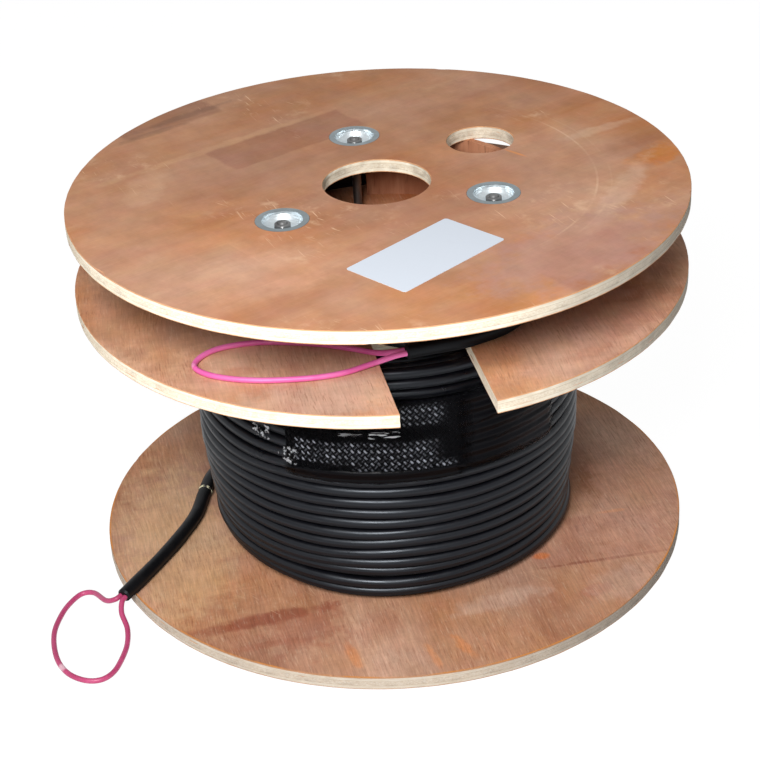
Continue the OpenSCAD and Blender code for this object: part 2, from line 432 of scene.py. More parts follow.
class EffectGroup(Graph):
    """A shader node group with named inputs and outputs."""

    FLOAT = "NodeSocketFloat"
    COLOR = "NodeSocketColor"

    def __init__(self, name: str, inputs: dict[str, Any], outputs: dict[str, str]) -> None:
        """Makes the group's sockets.

        Args:
            name: Name of the group.
            inputs: Starting value of each input; a number or a colour.
            outputs: Socket type of each output.
        """
        super().__init__(bpy.data.node_groups.new(name, "ShaderNodeTree"))
        for key, value in inputs.items():
            kind = self.COLOR if isinstance(value, tuple) else self.FLOAT
            self.tree.interface.new_socket(key, in_out="INPUT", socket_type=kind).default_value = value
        for key, kind in outputs.items():
            self.tree.interface.new_socket(key, in_out="OUTPUT", socket_type=kind)
        self.given = self.tree.nodes.new("NodeGroupInput").outputs
        self.results = self.tree.nodes.new("NodeGroupOutput").inputs

    def give(self, **results: Any) -> Tree:
        """Links the outputs and gives the finished group.

        Args:
            **results: Value of each output.

        Returns:
            The group's tree.
        """
        for key, value in results.items():
            self.feed(self.results[key], value)
        return self.tree


def grain_flow(g: EffectGroup) -> tuple[Socket, Socket, Socket]:
    """Gives the place along the grain, the wavy place across it, and both as a seeded vector.

    Args:
        g: Group that has Angle and Seed among its inputs.

    Returns:
        Both places and the vector.
    """
    turn = g.times(g.given["Angle"], -1.0)
    along, across, level = g.parts(g.turned(g.place(), turn))
    bend = g.noise(g.vector(along, across, g.given["Seed"]), 6.0, 2.0)
    across = g.math("MULTIPLY_ADD", bend, 0.018, across)
    return along, across, g.vector(along, across, g.plus(level, g.given["Seed"]))


@cache
def veneer_tone() -> Tree:
    """Builds the broad tones of rotary-cut face veneer: bands along its grain and joined patches.

    Returns:
        The group, with Color.
    """
    inputs = {"Angle": 0.0, "Seed": 0.0, "Patches": 0.2, "Light": (0.7, 0.4, 0.3, 1.0),
              "Middle": (0.6, 0.3, 0.2, 1.0), "Dark": (0.4, 0.2, 0.1, 1.0)}
    g = EffectGroup("veneer_tone", inputs, {"Color": EffectGroup.COLOR})
    along, across, flow = grain_flow(g)
    bands = g.noise(g.scaled(flow, (2.6, 34.0, 1.0)), 1.0, 4.0, 0.62)
    broad = g.noise(g.scaled(flow, (7.0, 10.0, 1.0)), 1.0, 3.0)
    tone = g.math("MULTIPLY_ADD", bands, 0.35, g.times(broad, 0.65))
    colour = g.ramp(tone, [(0.36, g.given["Dark"]), (0.5, g.given["Middle"]), (0.64, g.given["Light"])])

    row = g.math("FLOOR", g.times(across, 17.0))
    inputs = {"W": g.plus(row, g.given["Seed"])}
    slide = g.add("TexWhiteNoise", inputs, noise_dimensions="1D").outputs[0]
    column = g.math("FLOOR", g.math("MULTIPLY_ADD", slide, 5.0, g.times(along, 7.5)))
    inputs = {"Vector": g.vector(column, row, g.given["Seed"])}
    cell = g.add("TexWhiteNoise", inputs, noise_dimensions="3D").outputs[0]
    shade = g.times(g.between(cell, 0.55, 0.95), g.given["Patches"], -1.0)
    tint = g.between(g.noise(flow, 8.0, 2.0), 0.32, 0.68, 0.92, 1.14)
    inputs = {"Value": g.plus(shade, 1.0), "Saturation": tint, "Color": colour}
    return g.give(Color=g.add("HueSaturation", inputs).outputs[0])


@cache
def veneer_grain() -> Tree:
    """Builds the fine figure of face veneer over a colour: mottle, fibres, cross ticks, pores and flecks.

    Returns:
        The group, with Color and Height.
    """
    inputs = {"Color": (0.6, 0.3, 0.2, 1.0), "Angle": 0.0, "Seed": 0.0, "Mottle": 0.3, "Fibre": 0.2,
              "Ticks": 0.2, "Pores": 0.5}
    g = EffectGroup("veneer_grain", inputs, {"Color": EffectGroup.COLOR, "Height": EffectGroup.FLOAT})
    flow = grain_flow(g)[2]
    mottle = g.noise(g.scaled(flow, (60.0, 46.0, 1.0)), 1.0, 4.0, 0.66)
    lines = g.noise(g.scaled(flow, (48.0, 640.0, 1.0)), 1.0, 3.0, 0.7)
    ticks = g.noise(g.scaled(flow, (620.0, 60.0, 1.0)), 1.0, 2.0, 0.6)
    shade = 1.0
    for figure, share, strength in ((mottle, "Mottle", 1.0), (lines, "Fibre", 2.6), (ticks, "Ticks", 2.6)):
        swing = g.times(g.minus(figure, 0.5), strength)
        shade = g.math("MULTIPLY_ADD", swing, g.given[share], shade)
    warm = g.noise(g.scaled(flow, (26.0, 40.0, 1.0)), 1.0, 3.0, 0.6)
    warm = g.math("MULTIPLY_ADD", g.minus(warm, 0.5), g.times(g.given["Mottle"], 0.5), 1.0)
    drift = g.noise(g.scaled(flow, (44.0, 70.0, 1.0)), 1.0, 3.0, 0.6)
    drift = g.math("MULTIPLY_ADD", g.minus(drift, 0.5), g.times(g.given["Mottle"], 0.045), 0.5)
    inputs = {"Value": shade, "Saturation": warm, "Hue": drift, "Color": g.given["Color"]}
    colour = g.add("HueSaturation", inputs).outputs[0]

    dashes = g.noise(g.scaled(flow, (85.0, 1000.0, 1.0)), 1.0, 2.0, 0.7)
    dense = g.between(g.noise(flow, 20.0, 2.0), 0.35, 0.62)
    pore = g.times(g.between(dashes, 0.55, 0.68), dense, g.given["Pores"])
    colour = g.mix(pore, colour, g.mix(0.5, colour, (0.24, 0.075, 0.035, 1.0)))
    fleck = g.times(g.between(dashes, 0.43, 0.30), g.given["Pores"], 0.6)
    colour = g.mix(fleck, colour, g.mix(0.35, colour, (0.95, 0.75, 0.55, 1.0)))
    return g.give(Color=colour, Height=g.minus(g.times(lines, 0.4), pore))


@cache
def ply_edge() -> Tree:
    """Builds the sawn edge of a board: pale layers, glue lines and the face veneers' thin lines, with painted
    shade towards the right side.

    Returns:
        The group, with Color and Height.
    """
    inputs = {"Low": 0.0, "Thickness": 0.009, "Seed": 0.0}
    g = EffectGroup("ply_edge", inputs, {"Color": EffectGroup.COLOR, "Height": EffectGroup.FLOAT})
    place = g.place()
    x, y, z = g.parts(place)
    level = g.math("DIVIDE", g.minus(z, g.given["Low"]), g.given["Thickness"])
    waver = g.noise(g.scaled(place, (30.0, 30.0, 0.0)), 1.0, 2.0)
    wavy = g.math("MULTIPLY_ADD", g.minus(waver, 0.5), 0.07, level)
    middle = g.off(wavy, 0.5)
    crosswise = g.between(middle, 0.20, 0.18)

    shifted = g.vector(x, y, g.plus(z, g.given["Seed"]))
    streaks = g.noise(g.scaled(shifted, (60.0, 60.0, 1300.0)), 1.0, 4.0, 0.65)
    speckle = g.noise(g.scaled(shifted, (700.0, 700.0, 1100.0)), 1.0, 3.0, 0.7)
    long_grain = g.ramp(streaks, [
        (0.3, srgb(228, 210, 182)), (0.5, srgb(243, 232, 210)), (0.7, srgb(250, 243, 228))])
    end_grain = g.ramp(speckle, [
        (0.34, srgb(222, 204, 180)), (0.5, srgb(235, 221, 198)), (0.66, srgb(245, 236, 218))])
    colour = g.mix(crosswise, long_grain, end_grain)
    blotch = g.noise(shifted, 24.0, 3.0)
    colour = g.mix(g.between(blotch, 0.5, 0.75, 0.0, 0.45), colour, srgb(206, 190, 170))
    # Painted shade: edges and glue lines grow darker and greyer towards the right side, where less light
    # falls.
    painted_right_shade = g.between(x, 0.03, 0.17)
    colour = g.mix(g.times(painted_right_shade, 0.72), colour, srgb(158, 149, 138))

    glue = g.between(g.off(middle, 0.19), 0.016, 0.004)
    glue = g.times(glue, g.between(streaks, 0.35, 0.62, 0.45, 0.9))
    colour = g.mix(glue, colour, g.mix(painted_right_shade, srgb(190, 160, 126), srgb(112, 99, 86)))
    face = g.between(g.off(level, 0.5), 0.415, 0.44, 0.0, 0.8)
    colour = g.mix(face, colour, srgb(206, 138, 80))
    height = g.plus(g.times(speckle, crosswise), g.times(streaks, 0.5))
    return g.give(Color=colour, Height=g.minus(height, glue))


@cache
def scuffs() -> Tree:
    """Builds thin scratches and rubbed spots.

    Returns:
        The group, with Mask.
    """
    g = EffectGroup("scuffs", {"Scale": 1.0, "Seed": 0.0, "Amount": 0.5}, {"Mask": EffectGroup.FLOAT})
    x, y, z = g.parts(g.place())
    place = g.vector(g.plus(x, g.given["Seed"]), y, z)
    place = g.add("VectorMath", {0: place, 3: g.given["Scale"]}, operation="SCALE").outputs[0]
    first = g.noise(g.scaled(g.turned(place, 1.15), (45.0, 620.0, 60.0)), 1.0, 2.0)
    second = g.noise(g.scaled(g.turned(place, 0.75), (60.0, 700.0, 60.0)), 1.0, 2.0)
    where = g.between(g.noise(place, 12.0, 3.0), 0.50, 0.66)
    lines = g.math("MAXIMUM", g.between(first, 0.65, 0.78), g.between(second, 0.66, 0.78))
    rubbed = g.times(g.between(g.noise(place, 60.0, 4.0, 0.65), 0.52, 0.75), 0.6)
    return g.give(Mask=g.times(g.math("MAXIMUM", lines, rubbed), where, g.given["Amount"]))


def mark_place(g: EffectGroup) -> tuple[Socket, Socket]:
    """Gives the place along and across a mark, from its middle.

    Args:
        g: Group that has X, Y and Angle among its inputs.

    Returns:
        Both places.
    """
    x, y, _ = g.parts(g.place())
    away = g.vector(g.minus(x, g.given["X"]), g.minus(y, g.given["Y"]), 0.0)
    along, across, _ = g.parts(g.turned(away, g.times(g.given["Angle"], -1.0)))
    return along, across


@cache
def board_spot() -> Tree:
    """Builds one soft, ragged spot at a place on a level face.

    Returns:
        The group, with Mask.
    """
    inputs = {"X": 0.0, "Y": 0.0, "Length": 0.05, "Width": 0.02, "Angle": 0.0, "Ragged": 0.4}
    g = EffectGroup("board_spot", inputs, {"Mask": EffectGroup.FLOAT})
    along, across = mark_place(g)
    reach = g.reach(g.math("DIVIDE", along, g.given["Length"]), g.math("DIVIDE", across, g.given["Width"]))
    rough = g.minus(g.noise(g.place(), 85.0, 4.0, 0.6), 0.5)
    reach = g.math("MULTIPLY_ADD", rough, g.times(g.given["Ragged"], 2.0), reach)
    return g.give(Mask=g.between(reach, 0.62, 0.25))


@cache
def veneer_patch() -> Tree:
    """Builds one rectangular patch of face veneer with nearly straight edges.

    Returns:
        The group, with Mask.
    """
    inputs = {"X": 0.0, "Y": 0.0, "Length": 0.1, "Width": 0.04, "Angle": 0.0, "Soft": 0.002}
    g = EffectGroup("veneer_patch", inputs, {"Mask": EffectGroup.FLOAT})
    waver = g.times(g.minus(g.noise(g.place(), 90.0, 3.0), 0.5), 0.005)
    inside = []
    for value, size in zip(mark_place(g), ("Length", "Width")):
        half = g.times(g.given[size], 0.5)
        off = g.math("ABSOLUTE", g.plus(value, waver))
        inside.append(g.between(off, half, g.minus(half, g.given["Soft"])))
    return g.give(Mask=g.times(*inside))


@cache
def dust() -> Tree:
    """Builds the faint dust that settles on faces which look up.

    Returns:
        The group, with Mask.
    """
    g = EffectGroup("dust", {"Amount": 0.2, "Scale": 40.0}, {"Mask": EffectGroup.FLOAT})
    cloud = g.between(g.noise(g.place(), g.given["Scale"], 5.0, 0.65), 0.42, 0.75)
    return g.give(Mask=g.times(g.between(g.upward(), 0.1, 1.0), cloud, g.given["Amount"]))


@cache
def winding_patch() -> Tree:
    """Builds a ragged patch on the winding, by its direction from the axis and its height.

    Returns:
        The group, with Mask.
    """
    inputs = {"Turn": 0.0, "Half Turn": 0.1, "Level": 0.1, "Half Level": 0.01, "Ragged": 0.003, "Full": 0.82}
    g = EffectGroup("winding_patch", inputs, {"Mask": EffectGroup.FLOAT})
    place = g.place()
    x, y, z = g.parts(place)
    rough = g.times(g.minus(g.noise(place, 120.0, 4.0, 0.65), 0.5), g.given["Ragged"])
    level = g.math("MULTIPLY_ADD", rough, 2.0, z)
    turn = g.math("MULTIPLY_ADD", rough, 16.0, g.math("ARCTAN2", y, x))
    inside = []
    for value, middle, half in ((turn, "Turn", "Half Turn"), (level, "Level", "Half Level")):
        off = g.off(value, g.given[middle])
        inside.append(g.between(off, g.given[half], g.times(g.given[half], g.given["Full"])))
    return g.give(Mask=g.times(*inside))


class Finish:
    """A material with one Principled shader, made by its own kind of finish."""

    name: str

    def build(self) -> Material:
        """Makes the material.

        Returns:
            The material, with its colour and surface linked.
        """
        material = bpy.data.materials.new(self.name)
        material.use_nodes = True
        graph = Graph(material.node_tree)
        shader = next(n for n in material.node_tree.nodes if n.type == "BSDF_PRINCIPLED")
        self.dress(graph, shader)
        return material

    def dress(self, g: Graph, shader: Node) -> None:
        """Links the finish to the shader's inputs."""
        raise NotImplementedError


@dataclass(frozen=True)
class Mark:
    """A mark on a level face: its middle, its size and its turn."""

    x: float
    y: float
    length: float
    width: float
    turn: float

    def inside(self, g: Graph, group: Tree, **edge: float) -> Socket:
        """Gives the mark's mask.

        Args:
            g: Graph that takes the nodes.
            group: Group that draws the mark.
            **edge: What the group needs for the mark's edge.

        Returns:
            The mask.
        """
        return g.effect(group, {
            "X": self.x * MM, "Y": self.y * MM, "Length": self.length * MM, "Width": self.width * MM,
            "Angle": math.radians(self.turn), **edge}).outputs[0]


@dataclass(frozen=True)
class Spot(Mark):
    """A soft patch of colour: a stain, and on the boards also painted light or shade; its colour, strength
    and ragged edge.
    """

    colour: Color
    strength: float
    ragged: float = 0.4

    def over(self, g: Graph, colour: Any) -> Socket:
        """Lays the patch over a colour."""
        inside = self.inside(g, board_spot(), Ragged=self.ragged)
        return g.mix(g.times(inside, self.strength), colour, self.colour)


@dataclass(frozen=True)
class Inlay(Mark):
    """A rectangular patch of veneer: its tint and the width of its soft edge."""

    tint: Color
    soft: float = 2.0

    def over(self, g: Graph, colour: Any) -> Socket:
        """Tints a colour inside the patch."""
        return g.mix(self.inside(g, veneer_patch(), Soft=self.soft * MM), colour, self.tint, "MULTIPLY")


def board_marks(kind: type, *rows: tuple[Any, ...]) -> tuple[Any, ...]:
    """Gives the spots or inlays of a board.

    Args:
        kind: Spot or Inlay.
        *rows: Their values in order, the sixth of which is a display colour.

    Returns:
        The marks, in the order in which they are laid.
    """
    return tuple(kind(*row[:5], srgb(*row[5]), *row[6:]) for row in rows)


@dataclass(frozen=True)
class BoardFinish(Finish):
    """Veneered plywood: grain on the faces, painted shade on the faces that look down, layers on the sawn
    edges.
    """

    name: str
    low: float
    thickness: float
    grain: Grain
    seed: float
    light: Color
    middle: Color
    dark: Color
    mottle: float
    fibre: float
    ticks: float
    pores: float
    patches: float
    scuffed: float
    inlays: tuple[Inlay, ...] = ()
    spots: tuple[Spot, ...] = ()
    rub_ring: float = 0.0
    rim_line: float = 0.0
    edge_tint: Color = (1.0, 1.0, 1.0, 1.0)
    painted_underside_shade: Color = srgb(158, 146, 136)
    rubbed: Color = srgb(224, 184, 152)
    broken: Color = srgb(216, 140, 66)
    scratched: Color = srgb(232, 192, 158)

    def dress(self, g: Graph, shader: Node) -> None:
        """Links grain, stains, spots of painted light and shade, and scuffs to the faces, painted shade to
        the faces that look down, and layers to the edges.

        Args:
            g: Graph of the material.
            shader: Its Principled shader.
        """
        turned = {"Angle": math.radians(self.grain.value), "Seed": self.seed}
        tones = {"Patches": self.patches, "Light": self.light, "Middle": self.middle, "Dark": self.dark}
        face = g.effect(veneer_tone(), turned | tones).outputs[0]
        for mark in self.inlays + self.spots:
            face = mark.over(g, face)
        if self.rub_ring:
            face = g.mix(self.ring_mask(g), face, self.rubbed)
        figure = {"Mottle": self.mottle, "Fibre": self.fibre, "Ticks": self.ticks, "Pores": self.pores}
        grain = g.effect(veneer_grain(), turned | figure | {"Color": face})
        face = grain.outputs["Color"]
        if self.rim_line:
            face = g.mix(self.rim_mask(g), face, self.broken)
        scratches = g.effect(scuffs(), {"Seed": self.seed, "Amount": self.scuffed}).outputs[0]
        face = g.mix(scratches, face, self.scratched)
        layers = {"Low": self.low * MM, "Thickness": self.thickness * MM, "Seed": self.seed}
        edge = g.effect(ply_edge(), layers)
        sawn = g.mix(1.0, edge.outputs["Color"], self.edge_tint, "MULTIPLY")
        upward = g.upward()
        level = g.between(g.math("ABSOLUTE", upward), 0.76, 0.86)
        # Painted shade: faces that look down are darkened, to deepen the shade between the boards.
        face = g.mix(g.between(upward, -0.8, -0.95), face, self.painted_underside_shade, "MULTIPLY")
        colour = g.mix(level, sawn, face)
        height = g.blend(level, edge.outputs["Height"], grain.outputs["Height"])
        rough = g.blend(level, 0.75, g.math("MULTIPLY_ADD", scratches, 0.12, 0.56))
        g.feed_all(shader, {"Base Color": colour, "Roughness": rough, "Normal": g.bump(height, 0.5, 0.12),
                            "Specular IOR Level": 0.12})

    def rim_mask(self, g: Graph) -> Socket:
        """Gives the thin line along the rim where the face veneer has been broken by the saw.

        Args:
            g: Graph that takes the nodes.

        Returns:
            The line's mask.
        """
        x, y, _ = g.parts(g.place())
        line = g.between(g.reach(x, y), (self.rim_line - 1.6) * MM, (self.rim_line - 0.9) * MM)
        return g.times(line, g.between(g.noise(g.place(), 30.0, 4.0), 0.40, 0.58, 0.1, 0.9))

    def ring_mask(self, g: Graph) -> Socket:
        """Gives the faint ring that another drum has rubbed, broken up along its way.

        Args:
            g: Graph that takes the nodes.

        Returns:
            The ring's mask.
        """
        x, y, _ = g.parts(g.place())
        reach = g.reach(x, y)
        marks = 0.0
        for away, wide, strength in ((0.0, 1.2, 1.0), (9.0, 1.2, 0.5), (5.0, 20.0, 0.3)):
            off = g.off(reach, (self.rub_ring + away) * MM)
            line = g.between(off, wide * MM, wide * 0.3 * MM, 0.0, strength)
            marks = g.math("MAXIMUM", marks, line)
        broken = g.between(g.noise(g.place(), 14.0, 4.0), 0.38, 0.54)
        beside = g.between(x, 0.075, 0.115)
        return g.times(marks, broken, beside, 0.6)


@dataclass(frozen=True)
class CoreFinish(Finish):
    """Bent plywood of the cores, with upright grain."""

    name: str
    light: Color
    dark: Color

    def dress(self, g: Graph, shader: Node) -> None:
        """Links upright bands and fine lines.

        Args:
            g: Graph of the material.
            shader: Its Principled shader.
        """
        place = g.place()
        bands = g.noise(g.scaled(place, (55.0, 55.0, 7.0)), 1.0, 4.0, 0.6)
        lines = g.noise(g.scaled(place, (800.0, 800.0, 60.0)), 1.0, 2.0, 0.7)
        colour = g.ramp(bands, [(0.35, self.dark), (0.65, self.light)])
        colour = g.mix(g.between(lines, 0.56, 0.7, 0.0, 0.4), colour, (0.10, 0.035, 0.015, 1.0))
        g.feed_all(shader, {"Base Color": colour, "Roughness": g.between(bands, 0.3, 0.7, 0.6, 0.72),
                            "Normal": g.bump(lines, 0.4, 0.1), "Specular IOR Level": 0.25})


@dataclass(frozen=True)
class JacketFinish(Finish):
    """Black plastic of the cable and of its sleeves."""

    name: str
    colour: Color
    roughness: float
    ripple: float
    dusty: float
    gloss: float

    def dress(self, g: Graph, shader: Node) -> None:
        """Links colour, scuffs and dust.

        Args:
            g: Graph of the material.
            shader: Its Principled shader.
        """
        place = g.place()
        cloud = g.noise(place, 55.0, 4.0, 0.6)
        fine = g.noise(place, 900.0, 3.0, 0.7)
        marks = g.effect(scuffs(), {"Scale": 2.2, "Seed": 3.0, "Amount": 0.35}).outputs[0]
        settled = g.effect(dust(), {"Amount": self.dusty, "Scale": 70.0}).outputs[0]
        pale = tuple(min(1.0, c * 4 + 0.01) for c in self.colour[:3]) + (1.0,)
        colour = g.mix(g.times(marks, 0.5), self.colour, pale)
        colour = g.mix(settled, colour, (0.12, 0.11, 0.10, 1.0))
        rough = g.between(cloud, 0.3, 0.7, self.roughness - 0.07, self.roughness + 0.07)
        rough = g.plus(rough, g.times(settled, 0.4))
        rough = g.plus(rough, g.between(g.upward(), 0.15, -0.45, 0.0, 0.55))
        height = g.math("MULTIPLY_ADD", cloud, self.ripple, g.times(fine, 0.08))
        g.feed_all(shader, {"Base Color": colour, "Roughness": rough, "Normal": g.bump(height, 0.5, 0.3),
                            "Specular IOR Level": self.gloss, "Specular Tint": (0.84, 0.91, 1.0, 1.0)})


@dataclass(frozen=True)
class Window:
    """A patch on the winding, by azimuth in degrees and height in millimetres."""

    start: float
    end: float
    low: float
    high: float
    strength: float = 1.0
    full: float = 0.82

    def mask(self, g: Graph, ragged: float) -> Socket:
        """Gives the patch's mask.

        Args:
            g: Graph that takes the nodes.
            ragged: Unevenness of its edge, in millimetres.

        Returns:
            Strength inside the patch, 0 outside it.
        """
        inside = g.effect(winding_patch(), {
            "Turn": math.radians((self.start + self.end) / 2),
            "Half Turn": math.radians((self.end - self.start) / 2),
            "Level": (self.low + self.high) / 2 * MM, "Half Level": (self.high - self.low) / 2 * MM,
            "Ragged": ragged * MM, "Full": self.full}).outputs[0]
        return g.times(inside, self.strength)


def any_window(g: Graph, windows: Sequence[Window], ragged: float) -> Socket:
    """Gives the strongest mask of several patches.

    Args:
        g: Graph that takes the nodes.
        windows: The patches.
        ragged: Unevenness of their edges, in millimetres.

    Returns:
        The mask.
    """
    found = windows[0].mask(g, ragged)
    for window in windows[1:]:
        found = g.math("MAXIMUM", found, window.mask(g, ragged))
    return found


@dataclass(frozen=True)
class BraidFinish(Finish):
    """Black monofilament with pale glints painted into the colour of the bundles' crests, inside given
    patches.
    """

    name: str
    sleeve: "BraidedSleeve"
    shown: tuple[Window, ...]
    rising_glint: float = 0.25

    def dress(self, g: Graph, shader: Node) -> None:
        """Links dark valleys and the painted glints on the crests.

        Args:
            g: Graph of the material.
            shader: Its Principled shader.
        """
        sleeve = self.sleeve
        place = g.place()
        x, y, z = g.parts(place)
        reach = g.reach(x, y)
        crest = sleeve.outside - sleeve.filament / 2 + sleeve.lift
        top = g.between(reach, (crest - 0.6) * MM, (crest - 0.3) * MM)
        turn = g.minus(g.math("ARCTAN2", y, x), math.radians(sleeve.start))
        way = g.times(turn, sleeve.slope * sleeve.middle / sleeve.spacing * math.pi)
        level = g.times(g.minus(z, sleeve.level * MM), math.pi / (sleeve.spacing * MM))
        rising, falling = [g.math("COSINE", g.math(kind, level, way)) for kind in ("SUBTRACT", "ADD")]
        risen = g.between(g.times(rising, falling), -0.05, 0.05)
        across = g.blend(risen, g.math("ABSOLUTE", falling), g.math("ABSOLUTE", rising))
        slender = g.times(g.between(across, 0.66, 0.90), g.blend(risen, 1.0, self.rising_glint))
        flicker = g.between(g.noise(place, 240.0, 3.0, 0.6), 0.40, 0.60, 0.15, 1.0)
        painted_glint = g.times(top, slender, flicker, any_window(g, self.shown, 4.0))
        # Painted highlight: the glints are pale base colour on the crests, stronger on one strand family,
        # shown only inside the given patches.
        g.feed_all(shader, {
            "Base Color": g.mix(painted_glint, (0.003, 0.003, 0.004, 1.0), (0.58, 0.61, 0.70, 1.0)),
            "Roughness": g.blend(painted_glint, 0.6, 0.35), "Specular IOR Level": 0.06})


@dataclass(frozen=True)
class FilmFinish(Finish):
    """Clear film: unseen where it lies tight, pale where it is crumpled, with painted highlight streaks and a
    painted dark reflection where it hides the turns.
    """

    name: str
    crumpled: tuple[Window, ...]
    painted_streaks: tuple[Window, ...]
    smooth: tuple[Window, ...]
    pitch: float = 7.7
    painted_dark_fade: tuple[float, float] = (-62.0, -40.0)
    clear: float = 0.012

    def dress(self, g: Graph, shader: Node) -> None:
        """Links the crumpled parts, the painted highlight streaks and the painted dark reflection to colour
        and opacity.

        Args:
            g: Graph of the material.
            shader: Its Principled shader.
        """
        place = g.place()
        bits = g.between(g.noise(place, 330.0, 3.0, 0.6), 0.50, 0.62)
        drawn = g.between(g.noise(g.scaled(place, (90.0, 90.0, 900.0)), 1.0, 2.0), 0.50, 0.60)
        pale = g.times(any_window(g, self.crumpled, 5.0), bits)
        # Painted highlight: pale, more opaque streaks in the second set of patches.
        pale = g.math("MAXIMUM", pale, g.times(any_window(g, self.painted_streaks, 1.5), drawn))
        # Painted dark reflection: in the smooth patches the film becomes a near-black, nearly opaque sheet
        # that hides the turns; its black grows a little lighter towards its right end.
        dark = any_window(g, self.smooth, 4.0)
        seen = g.math("MAXIMUM", g.math("MAXIMUM", pale, dark), self.clear)
        x, y, z = g.parts(place)
        turns = g.math("COSINE", g.times(z, 2 * math.pi / (self.pitch * MM)))
        thin = g.between(g.math("ARCTAN2", y, x), *(math.radians(side) for side in self.painted_dark_fade))
        black = g.mix(thin, (0.0035, 0.0035, 0.0045, 1.0), (0.024, 0.024, 0.027, 1.0))
        g.feed_all(shader, {
            "Base Color": g.mix(pale, black, (0.55, 0.57, 0.60, 1.0)), "Alpha": seen,
            "Roughness": g.between(drawn, 0.0, 1.0, 0.28, 0.36), "Normal": g.bump(turns, 0.8, 1.2),
            "Specular IOR Level": 0.05})


@dataclass(frozen=True)
class PullCordFinish(Finish):
    """Coloured coated cord of a pull loop, paler where it was kinked."""

    name: str
    colour: Color
    shade: Color
    kink: Spot

    def dress(self, g: Graph, shader: Node) -> None:
        """Links colour drift, fine texture and the kink's pale spot.

        Args:
            g: Graph of the material.
            shader: Its Principled shader.
        """
        place = g.place()
        drift = g.noise(place, 45.0, 3.0)
        colour = g.mix(g.between(drift, 0.35, 0.7), self.colour, self.shade)
        colour = self.kink.over(g, colour)
        fine = g.noise(place, 1500.0, 2.0)
        marks = g.effect(scuffs(), {"Scale": 3.0, "Seed": 6.0, "Amount": 0.4}).outputs[0]
        colour = g.mix(g.times(marks, 0.4), colour, srgb(245, 190, 215))
        g.feed_all(shader, {"Base Color": colour, "Roughness": g.between(drift, 0.3, 0.7, 0.34, 0.46),
                            "Normal": g.bump(fine, 0.25, 0.1), "Specular IOR Level": 0.4})


@dataclass(frozen=True)
class SteelFinish(Finish):
    """Zinc-plated steel with smudges and fine scratches, with a painted dark reflection on the flat rims of
    washers.
    """

    name: str
    bright: Color
    dull: Color
    roughness: float
    rim: Color = (0.2, 0.2, 0.2, 1.0)
    rim_levels: tuple[float, float] | None = None

    def dress(self, g: Graph, shader: Node) -> None:
        """Links smudges, scratches and the painted dark reflection on the rims.

        Args:
            g: Graph of the material.
            shader: Its Principled shader.
        """
        place = g.place()
        smudge = g.noise(place, 110.0, 3.0, 0.55)
        marks = g.effect(scuffs(), {"Scale": 4.0, "Seed": 9.0, "Amount": 0.4}).outputs[0]
        colour = g.mix(g.between(smudge, 0.35, 0.7, 0.0, 0.6), self.bright, self.dull)
        rough = g.between(smudge, 0.3, 0.7, self.roughness - 0.05, self.roughness + 0.07)
        rough = g.plus(rough, g.times(marks, 0.15))
        # Painted reflection: the flat rims and a ring just inside them are darkened, as they would mirror a
        # dark room.
        if self.rim_levels:
            low, high = (level * MM for level in self.rim_levels)
            level = g.parts(place)[2]
            rim = g.math("MAXIMUM", g.between(level, low + 0.6 * MM, low + 0.2 * MM),
                         g.between(level, high - 0.6 * MM, high - 0.2 * MM))
            colour = g.mix(rim, colour, g.mix(g.between(smudge, 0.3, 0.8, 0.0, 0.3), self.rim, self.dull))
            rough = g.blend(rim, rough, 0.34)
            lip = g.off(level, high - 1.5 * MM)
            colour = g.mix(g.between(lip, 0.45 * MM, 0.15 * MM, 0.0, 0.35), colour, self.rim)
        g.feed_all(shader, {"Base Color": colour, "Metallic": 1.0, "Roughness": rough,
                            "Normal": g.bump(marks, 0.15, 0.05)})


@dataclass(frozen=True)
class PaperFinish(Finish):
    """Matt white label paper."""

    name: str
    colour: Color

    def dress(self, g: Graph, shader: Node) -> None:
        """Links faint fibres, a handled tone and small rubbed marks.

        Args:
            g: Graph of the material.
            shader: Its Principled shader.
        """
        place = g.place()
        fibres = g.noise(place, 1400.0, 3.0, 0.7)
        tone = g.noise(place, 30.0, 3.0)
        marks = g.effect(scuffs(), {"Scale": 1.5, "Seed": 12.0, "Amount": 0.25}).outputs[0]
        colour = g.mix(g.between(tone, 0.35, 0.7, 0.0, 0.35), self.colour, srgb(212, 218, 228))
        colour = g.mix(marks, colour, srgb(196, 196, 204))
        g.feed_all(shader, {"Base Color": colour, "Roughness": g.between(fibres, 0.3, 0.7, 0.55, 0.7),
                            "Normal": g.bump(fibres, 0.2, 0.05), "Specular IOR Level": 0.3})


@dataclass(frozen=True)
class GlueFinish(Finish):
    """Pale glue pressed out at the end of a shrink sleeve."""

    name: str
    colour: Color

    def dress(self, g: Graph, shader: Node) -> None:
        """Links a patchy pale colour.

        Args:
            g: Graph of the material.
            shader: Its Principled shader.
        """
        patch = g.noise(g.place(), 420.0, 3.0, 0.6)
        colour = g.ramp(patch, [(0.42, (0.02, 0.02, 0.02, 1.0)), (0.52, self.colour)])
        g.feed_all(shader, {"Base Color": colour, "Roughness": g.between(patch, 0.3, 0.7, 0.6, 0.4),
                            "Normal": g.bump(patch, 0.5, 0.3)})


@dataclass(frozen=True)
class Hole:
    """A round hole through a board, with a wider seat for a washer's rim where it has one."""

    x: float
    y: float
    radius: float
    seat_radius: float = 0.0
    seat_depth: float = 0.0
    seat_below: bool = False
    steps: int = 96


@dataclass(frozen=True)
class Chip:
    """A splinter broken out of a face veneer at the rim."""

    azimuth: float
    length: float
    depth: float
    on_top: bool = True


@dataclass(frozen=True)
class Notch:
    """A straight-sided notch in the rim of a board."""

    azimuth: float
    width: float
    inner: float


